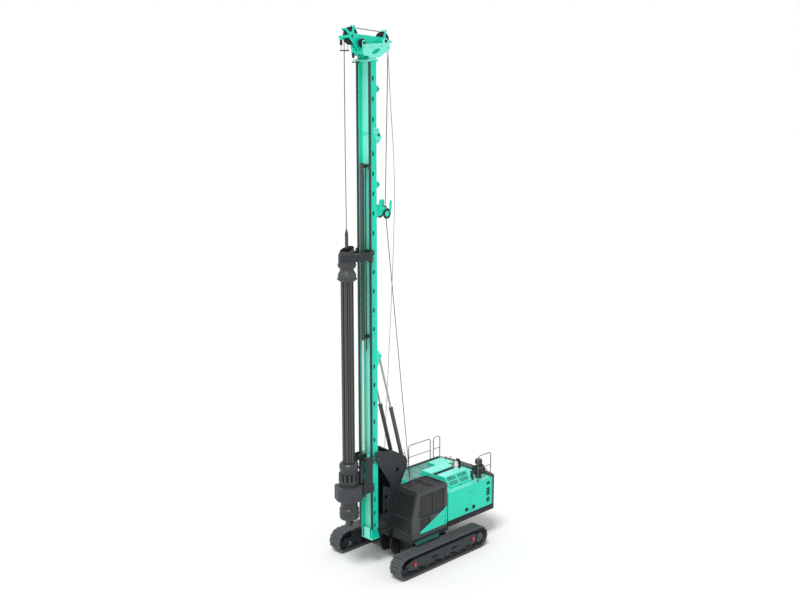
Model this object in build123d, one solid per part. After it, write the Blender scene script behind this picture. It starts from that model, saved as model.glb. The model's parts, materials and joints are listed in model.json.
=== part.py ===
from build123d import *
import math
import os

os.makedirs("parts", exist_ok=True)

# All sizes are in millimetres. The origin is on the ground under the slew axis.
# +X is the machine's left side with the cab, -Y is the front with the mast, +Z is up.

# Shared clearances
seat = 0.3            # gap between two pieces that sit on each other
run_fit = 0.05        # radial gap of a pin in its bore
slide_gap = 0.5       # gap of a sliding pad on its rail
move_gap = 8.0        # gap beside a piece that swings open
turn_gap = 4.0        # gap round a piece that turns and is held along its axis

# Crawler
track_len = 4950.0
track_out = 2000.0    # outer face of the shoes
shoe_w = 570.0
shoe_count = 50
grouser_h = 28.0
shoe_t = 16.0
link_t = 62.0
link_w = 190.0
track_h = 900.0
roller_r = 85.0
roller_count = 7
end_r = track_h / 2
wheel_y = track_len / 2 - end_r
axle_z = end_r
shoe_r = end_r - grouser_h
link_r = shoe_r - shoe_t
inner_r = link_r - link_t
track_in = track_out - shoe_w
track_mid = track_out - shoe_w / 2

# Car body and slew ring
car_low = 380.0
car_half = 700.0
ring_r = 620.0
ring_h = 130.0
ring_up = 120.0
car_top = track_h
ring_top = car_top + ring_h
lug_y = -1100.0
lug_drop = 400.0      # hole of a tow lug below the car body's top
lug_x = 290.0
lug_t = 90.0
lug_bore_r = 37.5
lug_z = car_top - lug_drop

# Upper carriage
half_w = 1500.0
deck_t = 230.0
panel_h = 1170.0
body_front = 660.0
body_len = 2630.0
weight_len = 330.0
door_seam = 1980.0
skin = 40.0
nose_y = -1560.0      # front end of the deck's nose
deck_low = ring_top + ring_up
deck_top = deck_low + deck_t
panel_top = deck_top + panel_h
body_rear = body_front + body_len
weight_rear = body_rear + weight_len

# Cab
cab_in = 440.0
cab_front = -1330.0
cab_rear = 600.0
cab_wall = 50.0
cab_h = 1830.0
sill_h = 810.0        # lower edge of the upper windows above the cab floor
door_front = -980.0
door_rear = 500.0
cab_floor = deck_low + 40
cab_roof = cab_floor + cab_h
cab_sill = cab_floor + sill_h
cab_mid = (cab_in + half_w) / 2
door_low = cab_floor + 110
door_high = cab_roof - 90

# Mast
mast_ahead = 2005.0   # back of the mast in front of the slew axis
mast_depth = 305.0
mast_half = 335.0
mast_wall = 16.0
rail_t = 30.0
rail_w = 90.0
rail_lap = 12.0       # part of a rail that lies beside the mast
rail_out = 363.0
foot_h = 440.0
lower_len = 14970.0
top_len = 2500.0
channel_half = 255.0
channel_depth = 170.0
mast_back = -mast_ahead
mast_front = mast_back - mast_depth
rail_front = mast_front - rail_t
foot_z = deck_low - 20
mast_low = foot_z + foot_h
mast_seam = mast_low + lower_len
mast_high = mast_seam + top_len
fold_y = mast_back + 85
fold_z = mast_seam - 60
fold_pin_r = 30.0

# Support frame of the mast
cheek_in = 386.0
cheek_t = 28.0
pivot_up = 3000.0
pivot_r = 55.0
pivot_y = mast_back - 95
pivot_z = deck_top + pivot_up

# Raking cylinders
rake_x = 290.0
rake_base_back = 1480.0
rake_base_drop = 520.0
rake_top_up = 3970.0
rake_top_out = 120.0
rake_barrel_r = 78.0
rake_barrel_len = 2450.0
rake_rod_r = 42.0
rake_pin_r = 45.0
rake_base_y = pivot_y + rake_base_back
rake_base_z = pivot_z - rake_base_drop
rake_top_y = mast_back + rake_top_out
rake_top_z = pivot_z + rake_top_up

# Rotary and kelly
kelly_out = 840.0     # kelly axis in front of the rails
kelly_r = 224.0
rib_r = 237.0         # outer face of the kelly's drive ribs
rib_w = 60.0
rib_count = 6
inner_kelly_r = 190.0
inner_kelly_wall = 25.0
stub_half = 100.0
pin_bore_r = 32.5
pin_up = 90.0         # pin bore above the stub's end
case_up = 1870.0
case_h = 520.0
case_r = 500.0
case_gap = 300.0      # back of the gear case in front of the rails
sleeve_r = 289.0
guide_up = 9150.0
neck_r = 205.0
kelly_y = rail_front - kelly_out
case_low = foot_z + case_up
case_high = case_low + case_h
case_rear = rail_front - case_gap
kelly_low = case_low - 760
stub_low = kelly_low - 310
guide_z = case_low + guide_up

# Sledge and crowd cylinder
sledge_h = 1400.0
shoe_h = 300.0
crowd_out = 80.0
crowd_barrel_r = 75.0
crowd_rod_r = 45.0
crowd_barrel_len = 6500.0
crowd_barrel_down = 1040.0
crowd_rod_in = 1650.0
sledge_low = case_low + 150
sledge_high = sledge_low + sledge_h
crowd_y = rail_front - crowd_out
crowd_rod_low = sledge_high + 50
crowd_barrel_high = mast_seam - crowd_barrel_down
crowd_barrel_low = crowd_barrel_high - crowd_barrel_len
crowd_rod_top = crowd_barrel_low + crowd_rod_in

# Masthead and sheaves
head_front_out = 905.0
head_front_up = 860.0
head_rear_out = 605.0
head_rear_up = 720.0
sheave_r = 310.0
sheave_w = 90.0
sheave_pin_r = 40.0
aux_x = 200.0
aux_out = 555.0
aux_up = 620.0
aux_r = 150.0
aux_w = 80.0
aux_pin_r = 30.0
head_t = 24.0
head_x = 62.0         # inner face of the middle plates
side_x = 290.0        # inner face of the outer plates
bracket_down = 2790.0
bracket_out = 585.0
bracket_r = 150.0
bracket_w = 240.0
bracket_half = 140.0  # inner face of the bracket's ears
head_front_y = mast_back - head_front_out
head_front_z = mast_high + head_front_up
head_rear_y = mast_back + head_rear_out
head_rear_z = mast_high + head_rear_up
aux_y = mast_back - aux_out
aux_z = mast_high + aux_up
bracket_y = mast_back + bracket_out
bracket_z = mast_seam - bracket_down

# Winches
winch_y = 480.0
winch_up = 700.0
winch_r = 300.0
flange_h = 110.0
winch_half = 330.0
winch_pin_r = 40.0
aux_winch_back = 560.0
aux_winch_up = -100.0
aux_winch_r = 150.0
aux_winch_half = 285.0
aux_flange_h = 65.0
winch_z = deck_top + winch_up
aux_winch_y = pivot_y + aux_winch_back
aux_winch_z = pivot_z + aux_winch_up

# Pins, rods and the bores they run in are truly round. Other round outlines are drawn
# with this many flats, so that their meshes stay small.
least = 6
few = 8
some = 16
many = 24


def block(x0, x1, y0, y1, z0, z1):
    return Pos((x0 + x1) / 2, (y0 + y1) / 2, (z0 + z1) / 2) * Box(x1 - x0, y1 - y0, z1 - z0)


def plate_x(points, x0, x1):
    """Plate standing along the machine; points are (y, z)."""
    outline = Polyline([(x0, y, z) for y, z in points], close=True)
    return extrude(make_face(outline), amount=x1 - x0, dir=(1, 0, 0))


def plate_y(points, y0, y1):
    """Plate standing across the machine; points are (x, z)."""
    outline = Polyline([(x, y0, z) for x, z in points], close=True)
    return extrude(make_face(outline), amount=y1 - y0, dir=(0, 1, 0))


def plate_z(points, z0, z1):
    """Flat plate; points are (x, y)."""
    outline = Polyline([(x, y, z0) for x, y in points], close=True)
    return extrude(make_face(outline), amount=z1 - z0, dir=(0, 0, 1))


def pin_x(y, z, r, x0, x1):
    return Pos((x0 + x1) / 2, y, z) * Rot(0, 90, 0) * Cylinder(r, x1 - x0)


def pin_z(x, y, r, z0, z1):
    return Pos(x, y, (z0 + z1) / 2) * Cylinder(r, z1 - z0)


def corners(a, b, r, sides, turn=0.5):
    """Corners of a regular outline; with turn 0.5 its flats face the axes."""
    step = 2 * math.pi / sides
    angles = [(i + turn) * step for i in range(sides)]
    return [(a + r * math.cos(angle), b + r * math.sin(angle)) for angle in angles]


def round_x(y, z, r, x0, x1, sides):
    return plate_x(corners(y, z, r, sides), x0, x1)


def round_y(x, z, r, y0, y1, sides):
    return plate_y(corners(x, z, r, sides), y0, y1)


def round_z(x, y, r, z0, z1, sides):
    return plate_z(corners(x, y, r, sides), z0, z1)


def across_flats(r, sides):
    """Corner radius of a regular outline whose flats touch a circle of radius r."""
    return r / math.cos(math.pi / sides)


def along(p, q):
    """Plane at p that faces q, and the distance between them."""
    a = Vector(*p)
    b = Vector(*q)
    return Plane(origin=a, z_dir=(b - a).normalized()), (b - a).length


def bar(p, q, r, sides):
    """Bar with flats between two points."""
    base, length = along(p, q)
    return extrude(base * RegularPolygon(r, sides), amount=length)


def rod(p, q, r):
    """Round rod between two points."""
    base, length = along(p, q)
    return base * Cylinder(r, length, align=(Align.CENTER, Align.CENTER, Align.MIN))


def stacked(rings):
    """Solid between outlines of as many corners each, one after the other."""
    faces = [make_face(Polyline(rings[0], close=True)), make_face(Polyline(rings[-1], close=True))]
    for low, high in zip(rings, rings[1:]):
        for i in range(len(low)):
            faces.append(make_face(Polyline([low[i - 1], low[i], high[i], high[i - 1]], close=True)))
    return Solid(Shell(faces))


def column(x, y, sides, steps):
    """Upright turned body drawn with flats; steps is a list of (z, r)."""
    rings = []
    for z, r in steps:
        rings.append([(a, b, z) for a, b in corners(x, y, r, sides)])
    return stacked(rings)


def mirror_x(shape):
    return mirror(shape, about=Plane.YZ)


def both_sides(shape):
    return [shape, mirror_x(shape)]


def fuse(pieces):
    total = pieces[0]
    for piece in pieces[1:]:
        total = total + piece
    return total


def save(node, shape):
    export_step(shape, "parts/" + node + ".step")


# Crawler loop: a point at a distance along its straight and round parts
straight = 2 * wheel_y
arc = math.pi * shoe_r
loop = 2 * (straight + arc)
pitch = loop / shoe_count


def loop_point(distance, r):
    s = distance % loop
    if s < straight:
        return (-wheel_y + s, axle_z + r)
    s = s - straight
    if s < arc:
        a = math.pi / 2 - s / shoe_r
        return (wheel_y + r * math.cos(a), axle_z + r * math.sin(a))
    s = s - arc
    if s < straight:
        return (wheel_y - s, axle_z - r)
    a = -math.pi / 2 - (s - straight) / shoe_r
    return (-wheel_y + r * math.cos(a), axle_z + r * math.sin(a))


end_steps = 8         # flats on each round end of the link loop


def obround(r):
    """Outline of the loop at radius r, with flats on its round ends."""
    points = []
    for side in (1, -1):
        for i in range(end_steps + 1):
            a = side * math.pi / 2 - math.pi * i / end_steps
            points.append((side * wheel_y + r * math.cos(a), axle_z + r * math.sin(a)))
    return points


# One shoe with two grousers: share of the pitch and height above the links
shoe_profile = [
    (0.04, 0.0),
    (0.08, shoe_t + grouser_h),
    (0.15, shoe_t + grouser_h),
    (0.24, shoe_t),
    (0.72, shoe_t),
    (0.82, shoe_t + grouser_h),
    (0.89, shoe_t + grouser_h),
    (0.96, 0.0),
]


def make_track():
    outer = []
    for i in range(shoe_count):
        for share, height in shoe_profile:
            outer.append(loop_point((i + share) * pitch, link_r + height))
    shoes = plate_x(outer, track_in, track_out)
    shoes = shoes - plate_x(obround(link_r - 8), track_in - 10, track_out + 10)
    x0 = track_mid - link_w / 2
    x1 = track_mid + link_w / 2
    links = plate_x(obround(link_r - 4), x0, x1) - plate_x(obround(inner_r), x0 - 10, x1 + 10)
    return shoes + links


track_left = make_track()
save("track_left", track_left)
save("track_right", mirror_x(track_left))

# Side frame: beam, wheels and rollers seated on the inside of the loop
beam_in = track_in + 95
beam_out = track_out - 75
end_wheel_r = inner_r - seat / math.cos(math.pi / (2 * end_steps))


def end_wheel(y, x0, x1):
    """Idler or sprocket body; its flats lie along those of the link loop."""
    return plate_x(corners(y, axle_z, end_wheel_r, 2 * end_steps, 0.0), x0, x1)


def make_side_frame():
    z_low = axle_z - inner_r + 2 * roller_r + 10
    z_high = axle_z + inner_r - 90
    beam = block(beam_in, beam_out, -wheel_y + 330, wheel_y - 330, z_low, z_high)
    cover = plate_x([
        (-wheel_y - 60, axle_z - 60),
        (-wheel_y + 60, z_low + 40),
        (-wheel_y + 420, z_low - 30),
        (wheel_y - 420, z_low - 30),
        (wheel_y - 200, z_low + 60),
        (wheel_y - 200, z_high - 20),
        (-wheel_y + 260, z_high - 20),
        (-wheel_y - 60, axle_z + 120),
    ], beam_out - 5, beam_out + 25)
    x0 = track_mid - link_w / 2 + 20
    x1 = track_mid + link_w / 2 - 20
    idler = end_wheel(-wheel_y, x0, x1)
    idler = idler + round_x(-wheel_y, axle_z, 90, beam_in, beam_out, some)
    yoke = block(beam_in, beam_in + 40, -wheel_y - 90, -wheel_y + 340, axle_z - 90, axle_z + 90)
    yoke = yoke + block(beam_out - 40, beam_out, -wheel_y - 90, -wheel_y + 340, axle_z - 90, axle_z + 90)
    sprocket = end_wheel(wheel_y, x0, x1)
    sprocket = sprocket + round_x(wheel_y, axle_z, 200, beam_in - 60, beam_out + 15, some)
    motor_arm = block(beam_in, beam_in + 60, wheel_y - 340, wheel_y + 10, axle_z - 150, axle_z + 150)
    rollers = []
    roller_z = axle_z - inner_r + roller_r * math.cos(math.pi / few) + seat
    roller_pitch = (2 * wheel_y - 1350) / (roller_count - 1)
    for i in range(roller_count):
        y = (i - (roller_count - 1) / 2) * roller_pitch
        rollers.append(round_x(y, roller_z, roller_r, x0 - 60, x1 + 60, few))
        rollers.append(block(x0 - 70, x1 + 70, y - 40, y + 40, roller_z, z_low + 10))
    carrier_r = roller_r * 0.7
    carrier_z = axle_z + inner_r - carrier_r * math.cos(math.pi / few) - seat
    for y in (-700, 700):
        rollers.append(round_x(y, carrier_z, carrier_r, x0 - 40, x1 + 40, few))
        rollers.append(block(x0 - 50, x1 + 50, y - 30, y + 30, z_high - 10, carrier_z))
    return fuse([beam, cover, idler, yoke, sprocket, motor_arm] + rollers)


side_frame_left = make_side_frame()
save("side_frame_left", side_frame_left)
save("side_frame_right", mirror_x(side_frame_left))

# Car body: centre box, four legs that slope down to the side frames, the lower slew ring
leg_end = beam_in - seat


def make_car_body():
    centre = block(-car_half, car_half, -850, 850, car_low, car_top)
    legs = []
    for y in (-680, 680):
        leg = plate_y([
            (car_half - 50, car_low + 20),
            (leg_end, axle_z - 150),
            (leg_end, axle_z + 190),
            (car_half - 50, car_top - 40),
        ], y - 230, y + 230)
        legs += both_sides(leg)
    ring = round_z(0, 0, ring_r, car_top - 10, ring_top - seat, many)
    swivel = round_z(0, 0, 160, car_low - 40, car_low + 10, some)
    lug = plate_x([
        (lug_y + 340, car_top - 10),
        (lug_y + 340, lug_z - 60),
        (lug_y + 250, lug_z - 350),
        (lug_y - 50, lug_z - 300),
        (lug_y - 230, lug_z + 80),
        (lug_y - 180, car_top - 10),
    ], lug_x - lug_t / 2, lug_x + lug_t / 2)
    lug = lug - pin_x(lug_y, lug_z, lug_bore_r, lug_x - lug_t, lug_x + lug_t)
    return fuse([centre, ring, swivel] + legs + both_sides(lug))


save("car_body", make_car_body())


# Deck of the upper carriage with the nose that carries the mast's support frame
def make_deck():
    under = deck_low - 20
    plate_low = deck_top - 20
    ring = round_z(0, 0, ring_r - 20, ring_top, under + 10, many)
    girder = block(-cab_in + 10, cab_in - 10, nose_y, cab_rear + 60, under, plate_low)
    girder = girder + block(-560, 560, cab_rear + 40, body_rear, under, plate_low)
    floor = block(-half_w + 5, half_w - 5, cab_rear + 40, body_rear, plate_low, deck_top)
    skirt = block(half_w - 70, half_w, cab_rear + 40, body_rear + 110, deck_low, deck_top)
    front_beam = block(-half_w + 5, half_w - 5, cab_rear + 40, cab_rear + 140, deck_low, deck_top)
    rear_beam = block(-half_w + 5, half_w - 5, body_rear - 120, body_rear, deck_low, deck_top)
    arm = block(cab_in - 10, half_w, cab_front, cab_rear + 60, deck_low - 110, cab_floor - seat)
    arm = arm - block(700, half_w - 90, cab_front + 90, -120, deck_low - 150, cab_floor + 100)
    arm = arm - block(700, half_w - 90, 0, cab_rear - 60, deck_low - 150, cab_floor + 100)
    right_arm = block(-half_w, -cab_in + 10, -420, cab_rear + 60, deck_low - 70, deck_top)
    step = block(half_w - 60, half_w, cab_front + 150, cab_rear - 100, deck_low - 140, deck_low - 105)
    stand = plate_x([
        (winch_y - 330, deck_top - 30),
        (winch_y + 330, deck_top - 30),
        (winch_y + 330, deck_top + 120),
        (winch_y + 130, winch_z + 110),
        (winch_y - 130, winch_z + 110),
        (winch_y - 330, deck_top + 120),
    ], winch_half + 12, winch_half + 44)
    stand = stand + round_x(winch_y, winch_z, 90, winch_half + 44, winch_half + 60, some)
    axle = pin_x(winch_y, winch_z, winch_pin_r, -winch_half - 13, winch_half + 13)
    base_half = winch_half + 44
    base = block(-base_half, base_half, winch_y - 330, winch_y + 330, deck_top - 30, deck_top + 20)
    pieces = [ring, girder, floor, front_beam, rear_beam, arm, right_arm, step, base, axle]
    return fuse(pieces + both_sides(skirt) + both_sides(stand))


save("deck", make_deck())

# Cab door hinges: a fixed knuckle with a pin, and the door's knuckle over it
hinge_x = half_w + 5
hinge_y = door_rear - move_gap / 2
knuckle_r = 14.0
knuckle_h = 60.0
hinge_pin_r = 6.0
hinge_heights = (door_low + 120, door_high - 170)


def fixed_knuckle(z):
    low = round_z(hinge_x, hinge_y, knuckle_r, z, z + knuckle_h - seat, few)
    return low + pin_z(hinge_x, hinge_y, hinge_pin_r, z, z + 2 * knuckle_h)


def door_knuckle(z):
    top = round_z(hinge_x, hinge_y, knuckle_r, z + knuckle_h, z + 2 * knuckle_h, few)
    return top - pin_z(hinge_x, hinge_y, hinge_pin_r + run_fit, z, z + 3 * knuckle_h)


def knuckle_room(z0, z1):
    return round_z(hinge_x, hinge_y, across_flats(knuckle_r + 1, few), z0, z1, few)


# Window openings of the cab
side_window = (-900.0, 400.0, cab_sill, cab_roof - 140)
rear_window_low = cab_sill + 150
rear_window_high = cab_roof - 170
front_low = cab_floor + 230
front_high = cab_roof - 130
front_inset = 80.0
rear_inset = 90.0
hatch_inset = 200.0
hatch = (-780.0, 100.0)


def make_cab_shell():
    outline = [
        (cab_front, cab_floor),
        (cab_rear, cab_floor),
        (cab_rear, cab_roof),
        (cab_front + 330, cab_roof),
        (cab_front + 270, cab_roof - 50),
        (cab_front, cab_sill),
    ]
    inside = [
        (cab_front + cab_wall, cab_floor + cab_wall),
        (cab_rear - cab_wall, cab_floor + cab_wall),
        (cab_rear - cab_wall, cab_roof - cab_wall),
        (cab_front + 355, cab_roof - cab_wall),
        (cab_front + 315, cab_roof - cab_wall - 35),
        (cab_front + cab_wall, cab_sill + 10),
    ]
    shell = plate_x(outline, cab_in, half_w)
    shell = shell - plate_x(inside, cab_in + cab_wall, half_w - cab_wall)
    shell = shell - block(half_w - 60, half_w + 10, door_front, door_rear, door_low, door_high)
    y0, y1, z0, z1 = side_window
    shell = shell - block(cab_in - 10, cab_in + 60, y0, y1, z0, z1)
    shell = shell - block(
        cab_in + rear_inset, half_w - rear_inset, cab_rear - 60, cab_rear + 10,
        rear_window_low, rear_window_high
    )
    shell = shell - plate_x([
        (cab_front - 20, front_low),
        (cab_front + 80, front_low),
        (cab_front + 90, cab_sill - 40),
        (cab_front - 20, cab_sill - 50),
    ], cab_in + front_inset, half_w - front_inset)
    shell = shell - plate_x([
        (cab_front - 30, cab_sill + 40),
        (cab_front + 110, cab_sill + 40),
        (cab_front + 340, front_high),
        (cab_front + 150, front_high),
    ], cab_in + front_inset, half_w - front_inset)
    shell = shell - block(
        cab_in + hatch_inset, half_w - hatch_inset, hatch[0], hatch[1], cab_roof - 60, cab_roof + 10
    )
    for z in hinge_heights:
        shell = shell - knuckle_room(z + knuckle_h - 2, z + 2 * knuckle_h + 2)
        shell = shell + fixed_knuckle(z)
    return shell


save("cab_shell", make_cab_shell())


def make_cab_glass():
    t = 6.0
    y0, y1, z0, z1 = side_window
    side = block(cab_in + 22, cab_in + 22 + t, y0 + seat, y1 - seat, z0 + seat, z1 - seat)
    rear = block(
        cab_in + rear_inset + seat, half_w - rear_inset - seat, cab_rear - 30, cab_rear - 30 + t,
        rear_window_low + seat, rear_window_high - seat
    )
    x0 = cab_in + front_inset + seat
    x1 = half_w - front_inset - seat
    low = block(x0, x1, cab_front + 20, cab_front + 20 + t, front_low + seat, cab_sill - 50 - seat)
    high = plate_x([
        (cab_front + 34, cab_sill + 40 + seat),
        (cab_front + 34 + t, cab_sill + 40 + seat),
        (cab_front + 272 + t, front_high - seat),
        (cab_front + 272, front_high - seat),
    ], x0, x1)
    roof = block(
        cab_in + hatch_inset + seat, half_w - hatch_inset - seat, hatch[0] + seat, hatch[1] - seat,
        cab_roof - 30, cab_roof - 30 + t
    )
    return Compound([side, rear, low, high, roof])


save("cab_glass", make_cab_glass())

# Guard bars in front of and over the cab
guard_bars = 10
guard_w = 18.0


def make_cab_guard():
    y0 = cab_front - 10
    y_roof = cab_front + 310
    front = [
        (y0 - 45, cab_floor + 40),
        (y0, cab_floor + 40),
        (y0, cab_sill - 5),
        (y_roof - 62, cab_roof - 35),
        (y_roof, cab_roof + seat),
        (y_roof, cab_roof + 50),
        (y_roof - 40, cab_roof + 50),
        (y_roof - 120, cab_roof - 30),
        (y0 - 45, cab_sill + 10),
    ]
    bar_profile = [
        (y0 - 40, cab_floor + 50),
        (y0 - 18, cab_floor + 50),
        (y0 - 18, cab_sill),
        (y_roof - 80, cab_roof - 30),
        (y_roof - 15, cab_roof + 20),
        (cab_rear - 100, cab_roof + 20),
        (cab_rear - 100, cab_roof + 42),
        (y_roof - 30, cab_roof + 42),
        (y_roof - 105, cab_roof - 25),
        (y0 - 40, cab_sill + 10),
    ]
    pieces = []
    for x in (cab_in, half_w - 36):
        pieces.append(plate_x(front, x, x + 36))
        pieces.append(block(x, x + 36, y_roof - 30, cab_rear - 100, cab_roof + seat, cab_roof + 50))
    for z in (cab_floor + 40, cab_sill - 5):
        pieces.append(block(cab_in, half_w, y0 - 45, y0 - seat, z, z + 40))
    first = cab_in + 85
    spread = half_w - cab_in - 170
    for i in range(guard_bars):
        x = first + i * spread / (guard_bars - 1)
        pieces.append(plate_x(bar_profile, x - guard_w / 2, x + guard_w / 2))
    for y in (y_roof - 30, -30, cab_rear - 140):
        pieces.append(block(cab_in, half_w, y, y + 40, cab_roof + seat, cab_roof + 50))
    return fuse(pieces)


save("cab_guard", make_cab_guard())


# Seat with its arm boxes, and the console in front of it
def make_cab_seat():
    floor = cab_floor + cab_wall + seat
    x = cab_mid + 30
    back = plate_x([
        (-20, floor + 430),
        (90, floor + 430),
        (190, floor + 1120),
        (90, floor + 1140),
    ], x - 220, x + 220)
    head_rest = plate_x([
        (90, floor + 1120),
        (180, floor + 1120),
        (210, floor + 1320),
        (130, floor + 1330),
    ], x - 120, x + 120)
    seat_group = fuse([
        block(x - 180, x + 180, -420, 40, floor, floor + 330),
        block(x - 240, x + 240, -520, 40, floor + 320, floor + 450),
        back,
        head_rest,
        block(x - 400, x - 260, -560, 60, floor, floor + 620),
        block(x + 255, x + 370, -560, 60, floor + 300, floor + 620),
        block(x + 180, x + 260, -200, 0, floor + 300, floor + 360),
        block(x - 280, x - 170, -200, 0, floor + 300, floor + 360),
    ])
    console = block(x - 400, x - 240, -1180, -1040, floor, floor + 900)
    screen = block(x - 440, x - 100, -1160, -1110, floor + 860, floor + 1160)
    return Compound([seat_group, console + screen])


save("cab_seat", make_cab_seat())

# Cab door, cut for its panes: y0, y1, z0, z1
pane_cuts = [
    (-870, -210, cab_sill - 40, door_high - 90),
    (-120, 410, cab_sill - 40, door_high - 90),
    (-870, -350, door_low + 180, cab_sill - 120),
]


def make_cab_door():
    x0 = half_w - cab_wall
    door = block(
        x0, half_w, door_front + move_gap, door_rear - move_gap, door_low + move_gap, door_high - move_gap
    )
    for y0, y1, z0, z1 in pane_cuts:
        door = door - block(x0 - 5, half_w + 5, y0, y1, z0, z1)
    for z in hinge_heights:
        door = door - knuckle_room(z - 2, z + knuckle_h)
        door = door + door_knuckle(z)
    handle_y = door_front + 45
    handle = block(half_w - 10, half_w + 35, handle_y, handle_y + 30, cab_sill + 20, cab_sill + 260)
    return door + handle


save("cab_door", make_cab_door())

panes = []
for y0, y1, z0, z1 in pane_cuts:
    panes.append(block(half_w - 28, half_w - 22, y0 + seat, y1 - seat, z0 + seat, z1 - seat))
save("door_glass", Compound(panes))

# Body over the engine: walls, top and the ledge beside the cab
hood_in = -420.0
hood_wall = 30.0
winch_bay = winch_y + winch_r + flange_h + 60
lid_left = half_w - 270
lid_front = 1030.0
lid_len = 1300.0
lid_h = 410.0
lid_rear = lid_front + lid_len
lid_hinge_x = hood_in + 60


def make_hood():
    low = deck_top + seat
    back = body_rear - seat
    front = block(cab_in, half_w - skin - move_gap, body_front, body_front + hood_wall, low, panel_top)
    notch_side = block(cab_in, cab_in + hood_wall, body_front, winch_bay + hood_wall, low, panel_top)
    notch_back = block(hood_in, cab_in + hood_wall, winch_bay, winch_bay + hood_wall, low, panel_top)
    rear = block(hood_in, half_w, back - hood_wall, back, low, panel_top)
    inner = block(hood_in, hood_in + hood_wall, winch_bay, back, low, panel_top)
    top = block(hood_in, half_w, winch_bay, back, panel_top - hood_wall, panel_top)
    top = top + block(cab_in, half_w, body_front, winch_bay, panel_top - hood_wall, panel_top)
    top = top - block(
        hood_in + 170, half_w - 420, lid_front + 70, lid_rear - 80, panel_top - 40, panel_top + 10
    )
    ledge = plate_y([
        (half_w - 420, panel_top),
        (half_w - 200, panel_top),
        (half_w - 270, panel_top + 60),
        (half_w - 420, panel_top + 60),
    ], body_front, lid_front - 20)
    post_out = half_w - skin - seat
    post = block(post_out - 60, post_out, door_seam - 40, door_seam + 40, low, panel_top)
    return fuse([front, notch_side, notch_back, rear, inner, top, ledge, post])


save("hood", make_hood())


# Raised lid with a slanting face and louvre slots in four panes
def make_hood_lid():
    low = panel_top + seat
    ridge_x = lid_left - 300
    top = panel_top + lid_h
    slope_low = panel_top + 70
    section = [
        (lid_hinge_x, low),
        (lid_left, low),
        (lid_left, slope_low),
        (ridge_x, top),
        (520, top),
        (520, top - 60),
        (230, top - 60),
        (230, top - 30),
        (lid_hinge_x + 60, top - 30),
        (lid_hinge_x, top - 180),
    ]
    inside = [
        (lid_hinge_x + 25, low - 10),
        (lid_left - 25, low - 10),
        (lid_left - 25, slope_low - 10),
        (ridge_x - 15, top - 25),
        (545, top - 25),
        (545, top - 85),
        (205, top - 85),
        (205, top - 55),
        (lid_hinge_x + 75, top - 55),
        (lid_hinge_x + 25, top - 190),
    ]
    lid = plate_y(section, lid_front, lid_rear) - plate_y(inside, lid_front + 25, lid_rear - 25)
    slope = math.degrees(math.atan2(top - slope_low, lid_left - ridge_x))
    for y in (lid_front + 320, lid_front + 920):
        for start in (0.15, 0.58):
            for i in range(3):
                t = start + i * 0.12
                x = lid_left + (ridge_x - lid_left) * t
                z = slope_low + (top - slope_low) * t
                lid = lid - Pos(x, y, z) * Rot(0, slope, 0) * Box(26, 460, 80)
    return lid


save("hood_lid", make_hood_lid())


# Side doors: a skin with a rim, louvres and small vents
def make_side_door(y0, y1, vents):
    z0 = deck_top + move_gap
    z1 = panel_top - hood_wall - move_gap
    door = block(half_w - skin, half_w, y0, y1, z0, z1)
    door = door - block(half_w - skin - 1, half_w - 12, y0 + 60, y1 - 60, z0 + 60, z1 - 60)
    for ya, yb, za, zb in vents:
        door = door - block(half_w - 50, half_w + 5, ya, yb, za, zb)
    return door


vent_z = deck_top + 140
front_vents = [(door_seam - 280, door_seam - 180, vent_z, vent_z + 90)]
rear_vents = [(door_seam + 140, door_seam + 240, vent_z + 10, vent_z + 100)]
louvre_y = body_rear - 330
# Louvre groups: height above the deck and number of slots
louvre_groups = [(180, 3), (460, 5), (920, 2)]
for up, count in louvre_groups:
    for i in range(count):
        z = deck_top + up + i * 65
        rear_vents.append((louvre_y, louvre_y + 150, z, z + 36))
front_door_y = body_front + move_gap
rear_door_y = body_rear - 40 - move_gap
save("door_left_front", make_side_door(front_door_y, door_seam - move_gap / 2, front_vents))
save("door_left_rear", make_side_door(door_seam + move_gap / 2, rear_door_y, rear_vents))

save("engine", block(hood_in + 170, half_w - 550, 1150, body_rear - 390, deck_top + seat, panel_top - 220))


# Counterweight with a rounded back
def make_counterweight():
    front = body_rear + seat
    corner_y = body_rear + weight_len / 3
    outline = [(-half_w, front), (half_w, front), (half_w, corner_y)]
    steps = 7
    for i in range(steps):
        x = half_w * (0.87 - 1.74 * i / (steps - 1))
        outline.append((x, weight_rear - 190 * (x / half_w) ** 2))
    outline.append((-half_w, corner_y))
    body = plate_z(outline, deck_low + 30, panel_top + 60)
    return body - block(-half_w - 1, half_w + 1, front - 1, body_rear + 112, deck_low, deck_top + seat)


save("counterweight", make_counterweight())

# Boxes and walkway on the machine's right
box_in = hood_in - 50
tread_t = 25.0
walk_z = panel_top + tread_t


def make_right_boxes():
    low = deck_top + seat
    back = body_rear - seat
    main = block(-half_w, box_in, 450, back, low, panel_top)
    front_box = block(-half_w, box_in, -400, 450, low, panel_top - 370)
    tread = block(-half_w, box_in, 450, back, panel_top, walk_z)
    low_box = block(-half_w + 250, box_in - 90, 2350, back - 90, walk_z, walk_z + 105)
    return fuse([main, front_box, tread, low_box])


save("right_boxes", make_right_boxes())

# Handrails: x, y0, y1, foot, top, radius and whether a middle rail is there
rail_height = 1025.0
rail_table = [
    (-half_w + 100, 1380, 2660, walk_z, walk_z + rail_height, 20, True),
    (-half_w + 100, 2850, 3240, walk_z, walk_z + rail_height, 20, True),
    (half_w - 60, 2460, 3230, panel_top, walk_z + rail_height, 20, True),
    (560, 2480, 3120, panel_top, panel_top + 350, 16, False),
]


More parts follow.
